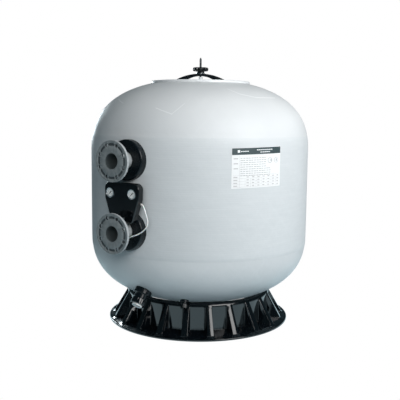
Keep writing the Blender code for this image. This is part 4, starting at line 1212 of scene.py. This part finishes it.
def yoke_section(x):
    """The four corners of the yoke's cross-section at x."""
    drop = YOKE_TOP_ARC - math.sqrt(YOKE_TOP_ARC**2 - x**2)
    foot = COLLAR_TOP + GAP
    top = max(YOKE_TOP - drop, foot + YOKE_TOE)
    under = foot
    if abs(x) < YOKE_FOOT_IN:
        under = max(YOKE_UNDER - (YOKE_UNDER_ARC - math.sqrt(YOKE_UNDER_ARC**2 - x**2)), foot)
    half = YOKE_HALF_MIDDLE + (YOKE_HALF_END - YOKE_HALF_MIDDLE) * abs(x) / YOKE_REACH
    return [(x, -half, under), (x, half, under), (x, half, top), (x, -half, top)]


def make_yoke(material):
    """The arched yoke with a hole for the rod."""
    steps = 40
    even = {round(YOKE_REACH * (2 * i / steps - 1), 5) for i in range(steps + 1)}
    places = sorted(even | {-YOKE_FOOT_IN, YOKE_FOOT_IN})
    yoke = finished("yoke_skin", loft([yoke_section(x) for x in places], False), YOKE, material)
    carve(yoke, prism(round_outline(0.0075, 32), 1.3, 1.4), YOKE)
    soften(yoke, 0.0022, 3, 40.0)
    stand_in(settle(yoke), "lid_yoke")


def make_lid(material):
    """The oval lid with its raised land and the boss round the rod."""
    sides, bore = 96, ROD_R + GAP
    rings = [
        oval_ring(bore, bore, 1.344, sides),
        oval_ring(0.0100, 0.0100, 1.344, sides),
        oval_ring(0.0110, 0.0110, 1.343, sides),
        oval_ring(0.0115, 0.0115, 1.325, sides),
        oval_ring(0.0150, 0.0150, 1.308, sides),
        oval_ring(0.0260, 0.0240, 1.303, sides),
        oval_ring(0.120, 0.080, 1.3022, sides),
        oval_ring(0.124, 0.084, 1.3005, sides),
        oval_ring(0.160, 0.106, 1.3000, sides),
        oval_ring(0.172, 0.116, 1.3008, sides),
        oval_ring(0.1765, 0.1205, 1.2985, sides),
        oval_ring(0.178, 0.122, 1.2950, sides),
        oval_ring(0.178, 0.122, 1.2855, sides),
        oval_ring(0.210, 0.152, 1.2855, sides),
        oval_ring(0.210, 0.152, 1.2745, sides),
        oval_ring(0.204, 0.146, 1.2705, sides),
        oval_ring(bore, bore, 1.2705, sides),
    ]
    lid = finished("lid_skin", loft(rings, True), YOKE, material)
    stand_in(lid, "manhole_lid")


# ---------------------------------------------------------------------------------------------------------
# Drains


def lobed_ring(outline, sides, lobes, depth):
    """A turned shape whose outermost points are cut by shallow grip flutes."""
    widest = max(radius for radius, _ in outline)
    rings = []
    for radius, height in outline:
        ring = []
        for i in range(sides):
            turn = 2 * math.pi * i / sides
            flute = depth * max(math.cos(lobes * turn), 0.0) ** 2 if radius > widest - 0.0004 else 0.0
            ring.append(((radius - flute) * math.cos(turn), (radius - flute) * math.sin(turn), height))
        rings.append(ring)
    return loft(rings, outline[0][0] > 0)


def make_sand_drain(black, gloss, white):
    body = (
        (0.022, -0.045), (0.026, -0.045), (0.026, -0.012), (0.045, -0.012), (0.045, 0.024),
        (0.033, 0.024), (0.033, 0.0497), (0.0294, 0.0497), (0.0294, 0.066), (0.022, 0.066),
    )
    stand_in(finished("sand_body_skin", turned(eased(body, 0.0025), 64), SAND, black), "sand_drain_body")
    plug = (
        (0.0, 0.055), (0.0217, 0.055), (0.0217, 0.0663), (0.0294, 0.0663), (0.0294, 0.0714),
        (0.0262, 0.0714), (0.0262, 0.0880), (0.0200, 0.0880), (0.0190, 0.0868), (0.0, 0.0868),
    )
    stand_in(finished("sand_plug_skin", turned(eased(plug, 0.0012), 64), SAND, white), "sand_drain_plug")
    ring = eased(
        (
            (0.0308, 0.0500), (0.0380, 0.0500), (0.0380, 0.0800), (0.0275, 0.0800), (0.0275, 0.0717),
            (0.0308, 0.0717),
        ),
        0.0022,
        4,
    )
    stand_in(finished("sand_ring_skin", lobed_ring(ring, 144, 12, 0.0012), SAND, gloss), "sand_drain_ring")


def make_water_drain(black, gloss):
    body = (
        (0.0075, -0.030), (0.012, -0.030), (0.012, -0.006), (0.022, -0.006), (0.022, 0.011),
        (0.014, 0.011), (0.014, 0.0185), (0.0115, 0.0185), (0.0115, 0.034), (0.0075, 0.034),
    )
    stand_in(finished("water_body_skin", turned(eased(body, 0.0015), 48), WATER, black), "water_drain_body")
    cap = eased(
        (
            (0.0, 0.0366), (0.0123, 0.0366), (0.0123, 0.0190), (0.0180, 0.0190), (0.0180, 0.0430),
            (0.0, 0.0430),
        ),
        0.0018,
        4,
    )
    stand_in(finished("water_cap_skin", lobed_ring(cap, 96, 16, 0.0008), WATER, gloss), "water_drain_cap")


# ---------------------------------------------------------------------------------------------------------
# Studio


def studio_point(right, back, up):
    """A place from the vessel's axis as the camera sees it: right, away from the camera, and up."""
    return YOKE @ Vector((right, back, up))


def area_light(name, place, aim, size, power, color=(1.0, 1.0, 1.0)):
    data = bpy.data.lights.new(name, "AREA")
    data.shape = "RECTANGLE"
    data.size, data.size_y = size
    data.energy = power
    data.color = color
    light = bpy.data.objects.new(name, data)
    bpy.context.scene.collection.objects.link(light)
    light.location = place
    light.rotation_euler = (Vector(aim) - Vector(place)).to_track_quat("-Z", "Y").to_euler()
    return light


def floor_paint():
    """Plain white to the camera, bright in reflections close to the object, and dim as a source of light."""
    paint = Paint("studio_floor", (0.25, 0.32, 0.36), 0.9, specular_ior_level=0.0)
    path = paint.tree.nodes.new("ShaderNodeLightPath").outputs
    reach, _ = from_axis(paint)
    reflected = paint.math("MULTIPLY", path["Is Glossy Ray"], paint.span(reach, 0.9, 2.0, 1.6, 0.06))
    glow = paint.math("MAXIMUM", path["Is Camera Ray"], reflected)
    uneven = paint.ramp(paint.noise(1.5, 2.0), ((0.3, (0.23, 0.30, 0.34)), (0.7, (0.26, 0.34, 0.38))))
    paint.colored(paint.mix(paint.math("MINIMUM", glow, 1.0), uneven, (0.0, 0.0, 0.0)))
    seen = paint.mix(path["Is Camera Ray"], (0.70, 0.92, 1.0), (1.0, 1.0, 1.0))
    paint.tree.links.new(seen, paint.shader.inputs["Emission Color"])
    paint.tree.links.new(glow, paint.shader.inputs["Emission Strength"])
    return paint.material


def make_studio():
    shape = bmesh.new()
    bmesh.ops.create_grid(shape, x_segments=8, y_segments=8, size=60.0)
    floor = finished("studio_floor", shape, Matrix.Translation((0, 0, -0.0005)), floor_paint())

    world = bpy.data.worlds.new("studio")
    bpy.context.scene.world = world
    world.use_nodes = True
    nodes, links = world.node_tree.nodes, world.node_tree.links
    seen = nodes["Background"]
    seen.inputs["Color"].default_value = (1.0, 1.0, 1.0, 1.0)
    seen.inputs["Strength"].default_value = 1.0
    lit = nodes.new("ShaderNodeBackground")
    lit.inputs["Color"].default_value = (0.50, 0.86, 1.0, 1.0)
    lit.inputs["Strength"].default_value = 0.08
    path = nodes.new("ShaderNodeLightPath")
    choice = nodes.new("ShaderNodeMixShader")
    links.new(path.outputs["Is Camera Ray"], choice.inputs[0])
    links.new(lit.outputs[0], choice.inputs[1])
    links.new(seen.outputs[0], choice.inputs[2])
    links.new(choice.outputs[0], nodes["World Output"].inputs["Surface"])

    heart = studio_point(0.0, 0.0, 0.75)
    shoulder = studio_point(-0.55, 0.0, 1.15)
    area_light("key", studio_point(2.7, -3.2, 2.9), heart, (3.0, 3.0), 180.0)
    right = area_light("right", studio_point(4.2, 0.4, 2.2), heart, (1.8, 2.2), 85.0)
    right.visible_glossy = False
    front = area_light("front", studio_point(-0.4, -4.6, 2.4), heart, (2.0, 1.8), 75.0)
    front.visible_glossy = False
    area_light("top", studio_point(0.5, -0.5, 3.8), heart, (2.6, 2.4), 8.0)
    area_light("edge", studio_point(-1.7, 2.6, 1.35), shoulder, (0.40, 0.8), 30.0, (0.85, 0.95, 1.0))
    bpy.context.scene.view_settings.view_transform = "Standard"
    bpy.context.scene.view_settings.look = "None"


# ---------------------------------------------------------------------------------------------------------
# The whole


def main():
    make_camera()
    make_tube(tube_plastic())
    paints = {"glass_fibre": glass_fibre(), **plain_paints()}
    for name, node in frame["nodes"].items():
        node.data.materials.clear()
        node.data.materials.append(paints[SLOT_OF[name]])
    make_vessel(paints["glass_fibre"])
    make_collar(paints["collar_moulding"])
    make_skirt(paints["gloss_black"])
    make_label(
        paints["label"],
        ink("slate_ink", (0.040, 0.062, 0.066)),
        ink("grey_ink", (0.30, 0.30, 0.31)),
        ink("pale_ink", (0.42, 0.40, 0.41)),
        ink("white_ink", (0.82, 0.84, 0.84)),
    )
    for name in PORTS:
        make_port(name, paints["black_moulding"], flange_pvc(), pipe_pvc())
    make_panel(paints["gloss_black"], paints["stainless"])
    dial_paint, mark_paint = enamel(), ink("dial_ink", (0.03, 0.03, 0.03))
    for side in ("left", "right"):
        make_gauge(side, paints["chrome"], dial_paint, mark_paint, mark_paint)
    make_rod(rod_steel())
    make_wheel(paints["gloss_black"])
    make_yoke(paints["black_moulding"])
    make_lid(paints["collar_moulding"])
    make_sand_drain(paints["black_moulding"], paints["gloss_black"], paints["white_plastic"])
    make_water_drain(paints["black_moulding"], paints["gloss_black"])
    make_studio()


main()
